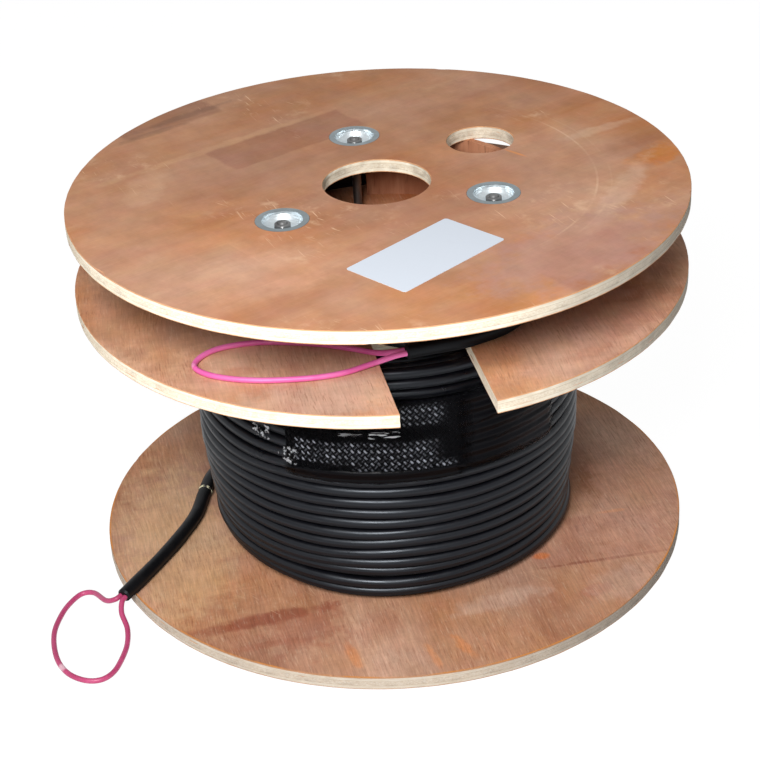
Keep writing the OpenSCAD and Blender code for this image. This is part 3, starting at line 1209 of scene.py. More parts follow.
@dataclass
class PlyBoard:
    """A round plywood board whose sawn edges show its layers."""

    node: str
    finish: BoardFinish
    seed: int
    holes: Sequence[Hole]
    chips: Sequence[Chip] = ()
    notch: Notch | None = None
    face_ply: float = 0.5
    inner_plies: int = 3
    chamfer: float = 0.22
    seam: float = 0.06
    rim_steps: int = 720
    side_step: float = 2.0

    def __post_init__(self) -> None:
        """Takes level, thickness and radius from the frame."""
        low, high = node_box(self.node)
        self.low, self.high = low[2], high[2]
        self.radius = (high[0] - low[0]) / 2
        self.draw = np.random.default_rng(self.seed)

    def outline(self) -> Array:
        """Gives the rim's points, counter-clockwise, with the notch where there is one.

        Returns:
            Points in the board's plane.
        """
        if self.notch is None:
            return np.stack(polar(self.radius, np.arange(self.rim_steps) * 360 / self.rim_steps), 1)
        half = self.notch.width / 2
        reach = math.sqrt(self.radius ** 2 - half ** 2)
        spread = math.degrees(math.asin(half / self.radius))
        rim = np.stack(polar(self.radius, np.linspace(spread, 360 - spread, self.rim_steps)), 1)
        deep = max(2, round((reach - self.notch.inner) / self.side_step))
        wide = max(2, round(self.notch.width / self.side_step))
        inward = np.linspace(reach, self.notch.inner, deep + 1)[1:]
        back = np.linspace(-half, half, wide + 1)[1:]
        sides = [np.stack([inward, np.full(deep, -half)], 1),
                 np.stack([np.full(wide, self.notch.inner), back], 1),
                 np.stack([inward[::-1][1:], np.full(deep - 1, half)], 1)]
        points = np.vstack([rim] + sides)
        angle = math.radians(self.notch.azimuth)
        turn = np.array([[math.cos(angle), math.sin(angle)], [-math.sin(angle), math.cos(angle)]])
        return points @ turn

    def levels(self) -> list[tuple[float, int]]:
        """Gives the heights of the edge's rows, each with the layer that it belongs to.

        Returns:
            Heights with the numbers of their layers, from below.
        """
        inner = (self.high - self.low - 2 * self.face_ply) / self.inner_plies
        seams = [self.low + self.face_ply + i * inner for i in range(self.inner_plies + 1)]
        bounds = [self.low, *seams, self.high]
        rows: list[tuple[float, int]] = []
        for ply, (start, end) in enumerate(zip(bounds, bounds[1:])):
            rows += [(start + (self.chamfer if ply == 0 else self.seam), ply),
                     (end - (self.chamfer if end == self.high else self.seam), ply)]
        return rows

    def edge_rings(self, points: Array, outward: Array, chips: Sequence[Chip]) -> list[Array]:
        """Makes the rows of points down a sawn edge, uneven from layer to layer.

        Args:
            points: Outline of the edge.
            outward: Directions away from the wood.
            chips: Splinters broken out of the face veneers.

        Returns:
            Rows from the underside to the top face.
        """
        way = np.concatenate([[0], np.cumsum(np.linalg.norm(np.diff(points, axis=0), axis=1))])
        azimuth = np.degrees(np.arctan2(points[:, 1], points[:, 0]))
        last_ply = self.inner_plies + 1
        offsets = {}
        for ply in range(last_ply + 1):
            ragged = Wobble(self.seed * 31 + ply, 14, 40, 1.6).along(way)
            offsets[ply] = self.draw.uniform(-0.13, 0.0) + 0.05 * ragged
            for chip in chips:
                if ply == (last_ply if chip.on_top else 0):
                    off = (azimuth - chip.azimuth + 180) % 360 - 180
                    away = np.abs(np.radians(off)) * self.radius
                    near = 1 - smoothstep(away, chip.length * 0.3, chip.length * 0.5)
                    offsets[ply] = offsets[ply] - chip.depth * near * (1 + 0.35 * ragged)
        rows = [(self.low, offsets[0] - self.chamfer)]
        rows += [(level, offsets[ply]) for level, ply in self.levels()]
        rows.append((self.high, offsets[last_ply] - self.chamfer))
        return [np.column_stack([points + outward * shift[:, None], np.full(len(points), level)])
                for level, shift in rows]

    def hole_rings(self, hole: Hole) -> list[Array]:
        """Makes the rows of points down a hole, from the underside to the top face.

        Args:
            hole: The hole.

        Returns:
            The rows.
        """
        angle = np.arange(hole.steps) * 360 / hole.steps
        unit = np.stack(polar(1.0, angle), 1)
        middle = np.array([hole.x, hole.y])
        if not hole.seat_radius:
            return self.edge_rings(middle + unit * hole.radius, -unit, ())
        step = self.low + hole.seat_depth if hole.seat_below else self.high - hole.seat_depth
        lower, upper = (hole.seat_radius, hole.radius) if hole.seat_below else (hole.radius, hole.seat_radius)
        rows = [(self.low, lower), (step, lower), (step, upper), (self.high, upper)]
        return [np.column_stack([middle + unit * r, np.full(hole.steps, z)]) for z, r in rows]

    def build(self) -> Piece:
        """Builds the board with its rim, holes and faces.

        Returns:
            The piece that stands for the board's node.
        """
        shape = Shape()
        rim = self.outline()
        forward = np.roll(rim, -1, 0) - np.roll(rim, 1, 0)
        outward = np.stack([forward[:, 1], -forward[:, 0]], 1)
        outward /= np.linalg.norm(outward, axis=1)[:, None]
        edges = [(self.edge_rings(rim, outward, self.chips), False)]
        edges += [(self.hole_rings(hole), True) for hole in self.holes]
        for rings, inside in edges:
            faces = band_faces(len(rings), len(rings[0]))
            shape.add(np.concatenate(rings), [face[::-1] for face in faces] if inside else faces)
        for row, upward in ((0, False), (-1, True)):
            loops = [rings[row] for rings, _ in edges]
            points = np.concatenate(loops)
            triangles = tessellate_polygon([[Vector((p[0], p[1], 0)) for p in loop] for loop in loops])
            shape.add(points, [self.facing(points, t, upward) for t in triangles])
        piece = shape.piece(f"{self.node}_board", self.finish.build(), "plywood", [self.node])
        self.weld(piece)
        return piece

    @staticmethod
    def facing(points: Array, corners: Sequence[int], upward: bool) -> list[int]:
        """Orders a triangle's corners so that it looks up or down.

        Args:
            points: Points of the face.
            corners: Numbers of the triangle's points.
            upward: Whether it looks up.

        Returns:
            The numbers in their order.
        """
        a, b, c = (points[i] for i in corners)
        turn = (b[0] - a[0]) * (c[1] - a[1]) - (b[1] - a[1]) * (c[0] - a[0])
        return list(corners) if (turn > 0) == upward else list(corners)[::-1]

    @staticmethod
    def weld(piece: Piece) -> None:
        """Joins the faces to the edges.

        Args:
            piece: The board's piece.
        """
        mesh = bmesh.new()
        mesh.from_mesh(piece.data)
        bmesh.ops.remove_doubles(mesh, verts=mesh.verts, dist=0.002 * MM)
        mesh.to_mesh(piece.data)
        mesh.free()
        piece.data.set_sharp_from_angle(angle=math.radians(Shading.CREASED.value))


@dataclass
class WoundCable:
    """The cable on the drum: layers of turns, the outer one running out into the outer end."""

    finish: Finish
    layers: int = 3
    lie_gap: float = 0.2
    leave_azimuth: float = 110.3
    leave_radius: float = 126.87
    settle: float = 40.0
    sunk: float = 6.4
    sunk_turns: float = 11.0
    sway: float = 1.0
    stray: float = 0.5
    recess: float = 1.1
    press: float = 0.22
    play: float = 0.03
    outer_sides: int = 12
    inner_sides: int = 8
    outer_steps: int = 120
    inner_steps: int = 60

    def __post_init__(self) -> None:
        """Takes the sizes of the winding from the frame."""
        low, high = node_box("cable_winding")
        core = node_box("main_core")[1]
        self.low, self.high = low[2], high[2]
        self.inner = core[0] + self.lie_gap
        self.cable = (high[0] - self.inner) / self.layers
        self.turns = int((self.high - self.low) // self.cable)
        self.pitch = (self.high - self.low) / self.turns

    def drawn_in(self, azimuth: Array, level: Array) -> Array:
        """Gives how far the outer turns have sunk inwards: most at the bottom, and at the sides.

        Args:
            azimuth: Places round the drum, in degrees.
            level: Their heights.

        Returns:
            Depths at these places.
        """
        oval = 0.8 + 0.2 * np.cos(2 * np.radians(azimuth))
        return self.sunk * oval * (1 - smoothstep(level, self.low, self.low + self.sunk_turns * self.pitch))

    def path(self, layer: int) -> Array:
        """Gives the cable's middle line in one layer, from its lowest turn to its highest.

        Args:
            layer: Number of the layer, from the core outwards.

        Returns:
            Points of the line.
        """
        outer = layer == self.layers - 1
        steps = self.outer_steps if outer else self.inner_steps
        climb = np.arange((self.turns - 1) * steps + 1) * 360 / steps
        radius = self.inner + (layer + 0.5) * self.cable
        level = self.low + self.cable / 2 + self.lie_gap + self.pitch * climb / 360
        top = self.high - self.pitch / 2
        level = np.minimum(level, top)
        azimuth = self.leave_azimuth - climb * (1 if layer % 2 == 0 else -1)
        away = np.full_like(climb, radius)
        if outer:
            away += (self.leave_radius - radius) * (1 - smoothstep(climb, 0, self.settle))
            rounds = np.radians(azimuth)
            sway = Wobble(5, 10, 70, 26).over(np.cos(rounds) * 34, np.sin(rounds) * 34 + level)
            slack = smoothstep(climb, 20, 120) * (1 - smoothstep(level, top - 14, top))
            away -= self.drawn_in(azimuth, level) * smoothstep(climb, 20, 200)
            level = level + (self.sway * sway + self.stray * Wobble(21, 9, 800, 170).along(climb)) * slack
            away -= self.recess * np.maximum(0, Wobble(9, 8, 900, 260).along(climb)) * slack
            away -= self.press * np.abs(Wobble(8, 10, 50, 18).over(np.sin(rounds) * 40, level)) * slack
        elif layer:
            away -= self.drawn_in(azimuth, level) / 2
        x, y = polar(away, azimuth)
        return np.stack([x, y, level], 1)

    def build(self) -> Piece:
        """Builds all layers as one piece.

        Returns:
            The piece that stands for the winding's node.
        """
        shape = Shape()
        for layer in range(self.layers):
            path = self.path(layer)
            sides = self.outer_sides if layer == self.layers - 1 else self.inner_sides
            add_tube(shape, path, np.full(len(path), self.cable / 2 - self.play), sides)
        return shape.piece(
            "wound_cable", self.finish.build(), "cable_jacket", ["cable_winding"], Shading.ROUND)


@dataclass
class BraidedSleeve:
    """A flattened braided sleeve of crossing filaments that lies on the winding."""

    start: float = -120.0
    end: float = -40.0
    thickness: float = 5.0
    bundles: int = 24
    filaments: int = 3
    filament: float = 0.56
    lift: float = 0.42
    step: float = 1.0
    slope: float = 1.15
    pinch: float = 9.0
    spread: float = 1.35
    fill_depth: float = 0.75
    fill_rows: int = 60
    fill_around: int = 40

    def __post_init__(self) -> None:
        """Takes the sleeve's place from the frame."""
        low, high = node_box("braided_sleeve")
        self.outside = -low[1]
        self.width = high[2] - low[2]
        self.level = (high[2] + low[2]) / 2
        self.middle = self.outside - self.thickness / 2
        self.length = math.radians(self.end - self.start) * self.middle
        self.edge = self.thickness / 2
        self.straight = self.width - self.thickness
        self.girth = 2 * self.straight + 2 * math.pi * self.edge
        self.spacing = self.girth / self.bundles

    def place(self, way: Array, round_way: Array, lift: Array) -> Array:
        """Gives the place of points on the flattened tube.

        Args:
            way: Distance along the sleeve.
            round_way: Distance round its section, from the middle of its outer face.
            lift: Height over the section's own line.

        Returns:
            Points in the frame.
        """
        half = self.straight / 2
        quarter = math.pi * self.edge / 2
        s = (round_way + self.girth / 2) % self.girth - self.girth / 2
        size = np.abs(s)
        bend = np.clip((size - half) / self.edge, 0, math.pi)
        flat = np.minimum(size, half)
        beyond = np.maximum(size - half - 2 * quarter, 0)
        reach = self.edge - self.filament + lift
        across = np.where(beyond > 0, half - beyond, flat) + reach * np.sin(bend)
        out = reach * np.cos(bend)
        near_end = np.minimum(way, self.length - way)
        squeeze = 0.35 + 0.65 * smoothstep(near_end, 0, self.pinch)
        radius = self.middle - self.edge + (out + self.edge) * squeeze
        azimuth = self.start + np.degrees(way / self.middle)
        x, y = polar(radius, azimuth)
        return np.stack([x, y, self.level + np.sign(s) * across], 1)

    def strand(self, number: int, side: int, shift: float) -> list[Array]:
        """Gives the runs of one filament that lie on the outer face.

        Args:
            number: Number of the filament's bundle.
            side: 1 or -1, the way that the bundle winds.
            shift: Distance of the filament from the bundle's middle.

        Returns:
            Runs of points.
        """
        slant = math.hypot(1.0, self.slope)
        way = np.arange(0.4, self.length - 0.4, self.step / slant)
        round_way = number * self.spacing + side * self.slope * way + shift * slant
        crossing = (round_way + side * self.slope * way) / self.spacing
        lift = self.lift * side * np.cos(math.pi * (crossing + number))
        points = self.place(way, round_way, lift)
        s = (round_way + self.girth / 2) % self.girth - self.girth / 2
        shown = np.abs(s) < self.straight / 2 + self.edge * 1.9
        breaks = np.flatnonzero(np.diff(shown.astype(int))) + 1
        runs = zip(np.split(points, breaks), np.split(shown, breaks))
        return [run for run, seen in runs if seen[0] and len(run) > 3]

    def filling(self, shape: Shape) -> None:
        """Adds the dark flat body that the filaments cover.

        Args:
            shape: Shape that takes it.
        """
        rows, around = self.fill_rows, self.fill_around
        way = np.repeat(np.linspace(0, self.length, rows), around)
        round_way = np.tile(np.arange(around) * self.girth / around, rows)
        points = self.place(way, round_way, np.full(rows * around, -self.fill_depth))
        shape.add(points, band_faces(rows, around) + cap_faces(rows, around))

    def build(self) -> Piece:
        """Builds the filling and the filaments.

        Returns:
            The piece that stands for the sleeve's node.
        """
        shape = Shape()
        self.filling(shape)
        gap = self.filament * self.spread
        for side in (1, -1):
            for number in range(self.bundles):
                for filament in range(self.filaments):
                    shift = (filament - (self.filaments - 1) / 2) * gap
                    for run in self.strand(number, side, shift):
                        add_tube(shape, run, np.full(len(run), self.filament / 2), 4)
        # Patches where the painted glints on the crests show.
        shown = (Window(-119, -88, 121, 140, 1.0, 0.7), Window(-102, -75, 116, 140, 1.0, 0.55),
                 Window(-87, -71, 114, 123, 1.0, 0.5), Window(-90, -74, 147, 168, 0.8, 0.5))
        finish = BraidFinish("braid", self, shown)
        return shape.piece("braided_sleeve_weave", finish.build(), "braid", ["braided_sleeve"], Shading.ROUND)


@dataclass
class StretchFilm:
    """Clear film drawn over the braid, with creases, laid on the cable above and below it."""

    braid: BraidedSleeve
    start: float = -135.0
    end: float = -20.0
    thickness: float = 0.12
    clear: float = 0.35
    slope: float = 8.0
    creases: int = 46
    columns: int = 230
    rows: int = 64
    crumple: tuple[float, float] = (-128.5, 134.0)

    def __post_init__(self) -> None:
        """Takes the film's height from the frame."""
        low, high = node_box("stretch_film")
        self.low, self.high = low[2], high[2]
        self.crest = node_box("cable_winding")[1][0]
        self.draw = np.random.default_rng(17)

    def relief(self, way: Array, level: Array) -> Array:
        """Gives the height of the creases over the film.

        Args:
            way: Distances along the film.
            level: Heights.

        Returns:
            Rise at each place.
        """
        raised = np.zeros_like(way)
        length = way.max()
        for _ in range(self.creases):
            at = self.draw.uniform(0, length)
            height = self.draw.uniform(self.low, self.high)
            turn = math.radians(self.draw.normal(4, 20))
            reach = self.draw.uniform(8, 34)
            wide = self.draw.uniform(0.7, 2.0)
            along = (way - at) * math.cos(turn) + (level - height) * math.sin(turn)
            across = (level - height) * math.cos(turn) - (way - at) * math.sin(turn)
            across = across + along ** 2 * self.draw.normal(0, 0.004)
            raised += self.draw.uniform(0.2, 0.75) * np.exp(-(across / wide) ** 2 - (along / reach) ** 2)
        return np.minimum(raised, 1.1)

    def build(self) -> Piece:
        """Builds the film as a thin closed skin.

        Returns:
            The piece that stands for the film's node.
        """
        braid = self.braid
        azimuth, level = np.meshgrid(
            np.linspace(self.start, self.end, self.columns), np.linspace(self.low, self.high, self.rows))
        way = np.radians(azimuth - self.start) * braid.middle
        over = braid.width / 2 + 1.0
        rise = 1 - smoothstep(np.abs(level - braid.level), over, over + self.slope)
        ends = smoothstep(azimuth, braid.start - 6, braid.start + 2)
        ends = ends * (1 - smoothstep(azimuth, braid.end - 2, braid.end + 6))
        height = self.crest + self.clear + (braid.outside + 0.15 - self.crest) * rise * ends
        near = np.exp(-((azimuth - self.crumple[0]) / 2.6) ** 2 - ((level - self.crumple[1]) / 7.0) ** 2)
        crumple = np.abs(Wobble(23, 12, 9, 2.2).over(way, level)) * 1.7 * near
        height = height + self.relief(way, level) + crumple
        shape = Shape()
        for shift in (0.0, -self.thickness):
            x, y = polar(height + shift, azimuth)
            shape.add(np.stack([x, y, level], -1).reshape(-1, 3), [])
        front = band_faces(self.rows, self.columns, closed=False)
        total = self.rows * self.columns
        shape.faces += front
        shape.faces += [[i + total for i in face[::-1]] for face in front]
        rim = list(range(self.columns)) + [r * self.columns + self.columns - 1 for r in range(1, self.rows)]
        rim += [(self.rows - 1) * self.columns + c for c in range(self.columns - 2, -1, -1)]
        rim += [r * self.columns for r in range(self.rows - 2, 0, -1)]
        shape.faces += [[b, a, a + total, b + total] for a, b in zip(rim, rim[1:] + rim[:1])]
        # The first set of patches is the crumpled film, the second holds the painted highlight streaks, the
        # third the painted dark reflection.
        finish = FilmFinish(
            "clear_film",
            (Window(-131.5, -125.5, 127, 137), Window(-127, -123, 139, 146, 0.6),
             Window(-120, -115.5, 118, 130, 0.9), Window(-123, -121, 120, 123, 0.8)),
            (Window(-96, -87, 141, 147), Window(-104, -97, 143, 147, 0.6)),
            (Window(-121, -68, 106, 118, 1.0, 0.8), Window(-73, -36, 106, 172, 1.0, 0.66)))
        return shape.piece("film_wrap", finish.build(), "film", ["stretch_film"], Shading.ROUND)


@dataclass
class CableEnds:
    """Both ends of the cable in their shrink sleeves, with their pull loops."""

    cable: float = 7.6
    tail: float = 9.5
    padded: float = 15.4
    loop: float = 3.5
    lie_gap: float = 0.2
    wrap_from: float = -105.0
    wrap_to: float = -405.0
    wrap_step: float = 15.0
    wrap_gap: float = 1.25
    wrap_grow: float = 15.0
    pad_from: float = -180.0
    pad_to: float = -315.0
    step: float = 1.6
    tail_sides: int = 20
    loop_sides: int = 14
    sleeve_start: tuple[float, float] = (-132.6, 14.0)

    def __post_init__(self) -> None:
        """Takes the levels of the boards from the frame."""
        self.lower = node_box("bottom_flange")[1][2]
        self.middle = node_box("middle_flange")[0][2]
        self.upper = node_box("middle_flange")[1][2]
        self.core = node_box("main_core")[1][0]

    def outer_route(self) -> Array:
        """Gives the outer end's route as x, y, z and diameter.

        Returns:
            Points of the route, one per row.
        """
        low = self.lower + self.lie_gap + self.cable / 2
        lain = self.lower + self.lie_gap + self.tail / 2
        bare = [(-44, 119), (-73, 104), (-98, 84), (-117, 61)]
        sleeved = [(-129, 34), (-134, 9), (-138, -16), (-147, -41), (-158, -65), (-170, -88), (-180, -106)]
        route = [(x, y, low, self.cable) for x, y in bare] + [(x, y, lain, self.tail) for x, y in sleeved]
        return np.array(route, float)

    def outer_loop_route(self) -> Array:
        """Gives the route of the pull loop that lies on the floor.

        Returns:
            Points of the route, one per row.
        """
        out = self.lower + self.lie_gap + self.tail / 2
        lain = self.lie_gap + self.loop / 2
        return np.array([
            (-182, -106, out), (-186, -109, out - 1), (-193, -104, out - 5), (-203, -88, lain + 2),
            (-212, -86, lain), (-219, -97, lain), (-223, -110, lain), (-225, -126, lain), (-223, -143, lain),
            (-218, -159, lain), (-210, -171, lain), (-199, -178, lain), (-189, -178, lain),
            (-182, -171, lain), (-178, -158, lain), (-176, -143, lain), (-177, -129, lain + 2),
            (-181, -119, out - 5), (-181, -112, out - 1), (-179, -108, out)], float)

    def inner_route(self) -> Array:
        """Gives the inner end's route, x, y, z and diameter: up through the notch and round the core.

        Returns:
            Points of the route, one per row.
        """
        sunk = self.middle + self.lie_gap + self.tail / 2
        lain = self.upper + self.lie_gap + self.tail / 2
        rising = ((38, -108, sunk), (23, -111, sunk), (8, -113, (sunk + lain) / 2), (-8, -113, lain))
        route = [(*place, self.tail) for place in rising]
        turns = round((self.wrap_from - self.wrap_to) / self.wrap_step)
        for i in range(turns + 1):
            azimuth = self.wrap_from - i * self.wrap_step
            thick = self.padded if self.pad_to < azimuth < self.pad_from else self.tail
            radius = self.core + self.wrap_gap + thick / 2 + self.wrap_grow * (i / turns) ** 2
            route.append((*polar(radius, azimuth), self.upper + self.lie_gap + thick / 2, thick))
        route += [(x, y, lain, self.tail) for x, y in ((72, -112), (48, -126), (30, -131), (13, -136))]
        return np.array(route, float)

    def inner_loop_route(self) -> Array:
        """Gives the route of the pull loop that lies on the middle board.

        Returns:
            Points of the route, one per row.
        """
        out = self.upper + self.lie_gap + self.tail / 2
        lain = self.upper + self.lie_gap + self.loop / 2
        flat = [(-24, -152), (-40, -156), (-58, -157), (-76, -156), (-93, -152), (-107, -145), (-114, -136),
                (-112, -126), (-104, -117), (-92, -112), (-76, -110), (-58, -112), (-40, -116), (-22, -123)]
        leaving = [(13, -138, out), (5, -141, out), (-8, -145, lain + 1)]
        back = [(-6, -132, lain + 1), (4, -136, out), (12, -134, out)]
        return np.array(leaving + [(x, y, lain) for x, y in flat] + back, float)

    def build_tail(self, name: str, route: Array, finish: Finish) -> Piece:
        """Args:
            name: Name of the CAD node that it stands for.
            route: Its route.
            finish: Its finish.

        Returns:
            The piece.
        """
        path = even_path(route, self.step)
        way = np.arange(len(path)) * self.step
        radii = np.clip(path[:, 3], self.cable, self.padded) / 2
        radii = radii * (1 + 0.012 * Wobble(41, 9, 60, 9).along(way))
        shape = Shape()
        add_tube(shape, path[:, :3], radii, self.tail_sides)
        piece = shape.piece(f"{name}_cord", finish.build(), "shrink_sleeve", [name])
        return piece

    def build_loop(self, name: str, route: Array, finish: Finish, slot: str) -> Piece:
        """Args:
            name: Name of the CAD node that it stands for.
            route: Its route.
            finish: Its finish.
            slot: Its material slot.

        Returns:
            The piece.
        """
        path = even_path(route, self.step / 2)
        shape = Shape()
        add_tube(shape, path, np.full(len(path), self.loop / 2), self.loop_sides)
        piece = shape.piece(f"{name}_cord", finish.build(), slot, [name], Shading.ROUND)
        return piece

    def build_glue(self, route: Array) -> Piece:
        """Builds the ragged ring of glue at the start of the outer end's sleeve.

        Args:
            route: Route of the outer end.

        Returns:
            The piece.
        """
        path = even_path(route, 0.4)
        at = int(np.argmin(np.linalg.norm(path[:, :2] - self.sleeve_start, axis=1)))
        along, side, up = (d[at] for d in carried_frames(path[:, :3]))
        rows, around = 9, 40
        angle = np.arange(around) * 2 * math.pi / around
        ragged = Wobble(61, 8, 2.4, 0.5).along(angle)
        points = []
        for row in np.linspace(-1, 1, rows):
            radius = self.tail / 2 - 0.05 + 0.45 * math.sqrt(max(0.0, 1 - row ** 2))
            spread = row * (1.1 + 0.5 * ragged) + 0.6 * np.sin(angle + 0.6)
            points.append(path[at, :3] + spread[:, None] * along
                          + radius * (np.cos(angle)[:, None] * side + np.sin(angle)[:, None] * up))
        shape = Shape()
        shape.add(np.concatenate(points), band_faces(rows, around) + join_faces(rows, around))
        glue = GlueFinish("pale_glue", srgb(226, 222, 186)).build()
        return shape.piece("sleeve_glue_ring", glue, shading=Shading.ROUND)

    def build(self) -> list[Piece]:
        """Builds both ends, the glue ring and both loops.

        Returns:
            The pieces.
        """
        sleeve = JacketFinish("shrink_sleeve", srgb(13, 13, 15), 0.42, 0.35, 0.03, 0.22)
        worn = Spot(-214, -165, 7, 7, 0, srgb(226, 190, 200), 0.8)
        dark = PullCordFinish("dark_pull_cord", srgb(190, 74, 118), srgb(172, 60, 102), worn)
        bent = Spot(-116, -136, 5, 5, 0, srgb(244, 170, 205), 0.5)
        bright = PullCordFinish("bright_pull_cord", srgb(238, 118, 182), srgb(226, 96, 166), bent)
        outer = self.outer_route()
        return [
            self.build_tail("outer_tail", outer, sleeve),
            self.build_glue(outer),
            self.build_loop("outer_pull_loop", self.outer_loop_route(), dark, "dark_pull_cord"),
            self.build_tail("inner_tail", self.inner_route(), sleeve),
            self.build_loop("inner_pull_loop", self.inner_loop_route(), bright, "bright_pull_cord"),
        ]


@dataclass
class TieBolt:
    """A tie bolt with its nut: chamfered hexagons and a thread at the top."""

    number: int
    finish: Finish
    shank: float = 6.0
    across_flats: float = 10.0
    head: float = 4.0
    nut: float = 5.0
    pitch: float = 1.0
    depth: float = 0.55
    threaded: float = 16.0
    sides: int = 24
    hex_steps: int = 48

    def __post_init__(self) -> None:
        """Takes the bolt's place from the frame."""
        low, high = node_box(f"tie_bolt_{self.number}")
        nut_low, _ = node_box(f"nut_{self.number}")
        self.x, self.y = (low[0] + high[0]) / 2, (low[1] + high[1]) / 2
        self.foot, self.tip, self.seat = low[2], high[2], nut_low[2]

    def lathe(self, shape: Shape, profile: Sequence[tuple[float, float]]) -> None:
        """Adds a closed turned body.

        Args:
            shape: Shape that takes it.
            profile: Radius and height of each ring, from below.
        """
        unit = np.stack(polar(1.0, np.arange(self.sides) * 360 / self.sides), 1)
        rings = [np.column_stack([unit * r + (self.x, self.y), np.full(self.sides, z)]) for r, z in profile]
        closing = cap_faces(len(rings), self.sides)
        shape.add(np.concatenate(rings), band_faces(len(rings), self.sides) + closing)

    def hexagon(self, shape: Shape, low: float, high: float, bore: float) -> None:
        """Adds a hexagon with turned-off corners, and a bore where it is a nut.

        Args:
            shape: Shape that takes it.
            low: Height of its underside.
            high: Height of its top.
            bore: Radius of its bore, or 0.
        """
        steps = self.hex_steps
        angle = np.arange(steps) * 360 / steps
        apothem = self.across_flats / 2
        hexed = apothem / np.cos(np.radians((angle + 30) % 60 - 30))
        limits = ((low, 1.0), (low + 0.6, 1.2), (high - 1.5, 1.2), (high - 0.7, 1.05), (high - 0.2, 0.92),
                  (high, 0.82))
        rings = [(np.minimum(hexed, apothem * limit * 0.98), level) for level, limit in limits]
        if bore:
            widths = ((high, 0.5), (high - 0.5, 0.0), (low + 0.5, 0.0), (low, 0.5))
            rings += [(np.full(steps, bore + grow), level) for level, grow in widths]
        rows = [np.column_stack([*polar(radius, angle), np.full(steps, level)]) for radius, level in rings]
        closing = (join_faces if bore else cap_faces)(len(rows), steps)
        shape.add(np.concatenate(rows) + (self.x, self.y, 0), band_faces(len(rows), steps) + closing)

    def build(self) -> Piece:
        """Builds bolt and nut as one piece.

        Returns:
            The piece that stands for both nodes.
        """
        shape = Shape()
        radius = self.shank / 2
        self.hexagon(shape, self.foot, self.foot + self.head, 0.0)
        profile = [(radius, self.foot + self.head - 0.1), (radius, self.tip - self.threaded)]
        turns = int(self.threaded / self.pitch) - 1
        for turn in range(turns):
            level = self.tip - self.threaded + (turn + 0.5) * self.pitch
            profile += [(radius - self.depth, level), (radius - 0.05, level + self.pitch / 2)]
        profile += [(radius - self.depth, self.tip - 0.5), (radius - self.depth - 0.5, self.tip)]
        self.lathe(shape, profile)
        self.hexagon(shape, self.seat, self.seat + self.nut, radius + 0.05)
        nodes = [f"tie_bolt_{self.number}", f"nut_{self.number}"]
        return shape.piece(f"tie_bolt_and_nut_{self.number}", self.finish.build(), "bolt_steel", nodes)


TOP_INLAYS = board_marks(
    Inlay,
    (-59, 77, 112, 42, 36, (230, 221, 225), 3.0), (129, -134, 72, 72, 36, (236, 224, 226), 4.0),
    (-147, 125, 84, 40, 36, (216, 212, 214), 6.0))
# The first top spot is painted shade: the back and left of the top face are darkened, where less light falls.
TOP_SPOTS = board_marks(
    Spot,
    (-80, 80, 360, 230, 36, (158, 112, 84), 0.34, 0.2),
    (30, -20, 200, 90, 20, (164, 114, 90), 0.28, 0.3), (184, 20, 50, 26, 40, (204, 124, 56), 0.75),
    (92, 34, 22, 2.4, -46, (226, 150, 92), 0.8, 0.2), (-134, 126, 80, 10, 38, (126, 94, 74), 0.5),
    (-152, 100, 60, 8, 36, (136, 100, 78), 0.45), (-112, 66, 210, 9, 36, (208, 164, 126), 0.38, 0.35),
    (-150, 8, 60, 26, 80, (206, 164, 134), 0.4), (150, -40, 130, 18, 66, (220, 182, 158), 0.45),
    (-60, -120, 130, 60, 20, (216, 164, 134), 0.35), (150, 66, 60, 12, 30, (216, 178, 150), 0.45),
    (120, -110, 150, 90, 36, (184, 139, 123), 0.75))
MIDDLE_INLAYS = board_marks(
    Inlay,
    (140, -130, 60, 70, 10, (246, 238, 242), 3.0), (-120, -120, 60, 90, 98, (255, 255, 252), 8.0))
MIDDLE_SPOTS = board_marks(
    Spot,
    (-92, -144, 34, 14, 20, (188, 118, 84), 0.4), (128, -138, 54, 12, 25, (172, 106, 80), 0.4, 0.7),
    (100, -158, 60, 14, 10, (226, 178, 150), 0.45), (150, -100, 56, 17, 60, (172, 108, 82), 0.42, 0.7),
    (146, -128, 70, 12, 45, (222, 182, 158), 0.4, 0.6), (-150, -70, 170, 80, 115, (180, 132, 102), 0.6),
    (140, -110, 150, 80, 40, (224, 170, 142), 0.4, 0.5), (-30, -178, 150, 44, 5, (214, 178, 156), 0.55, 0.5))
BOTTOM_INLAYS = board_marks(
    Inlay,
    (140, -60, 110, 60, 10, (246, 238, 242), 5.0), (60, -160, 90, 60, 8, (255, 255, 252), 10.0))
# The bottom spot at x -150, y -40 is painted light: a pale patch on the left of the face, which lies in
# shade.
BOTTOM_SPOTS = board_marks(
    Spot,
    (-95, -136, 120, 13, 15, (140, 72, 54), 0.7, 0.5), (-80, -160, 70, 8, 10, (158, 92, 70), 0.35),
    (-62, -146, 60, 46, 60, (160, 96, 74), 0.5, 0.6), (-14, -150, 36, 30, 60, (172, 112, 88), 0.3),
    (66, -126, 70, 18, 20, (212, 178, 158), 0.4), (40, -172, 26, 8, -60, (222, 140, 86), 0.5),
    (143, -86, 96, 3.4, 9, (134, 76, 58), 0.55, 0.7), (97, -80, 12, 8, 0, (222, 128, 72), 0.7),
    (153, -30, 22, 4, 10, (226, 142, 78), 0.6), (20, -180, 30, 6, -70, (224, 144, 86), 0.45),
    (-30, -176, 26, 8, -70, (224, 140, 84), 0.4), (130, -120, 30, 12, 30, (168, 98, 78), 0.4),
    (-150, -40, 210, 80, 100, (216, 176, 134), 0.55), (150, -110, 60, 30, 40, (206, 172, 154), 0.4),
    (170, -20, 170, 80, 80, (214, 164, 140), 0.45, 0.5))


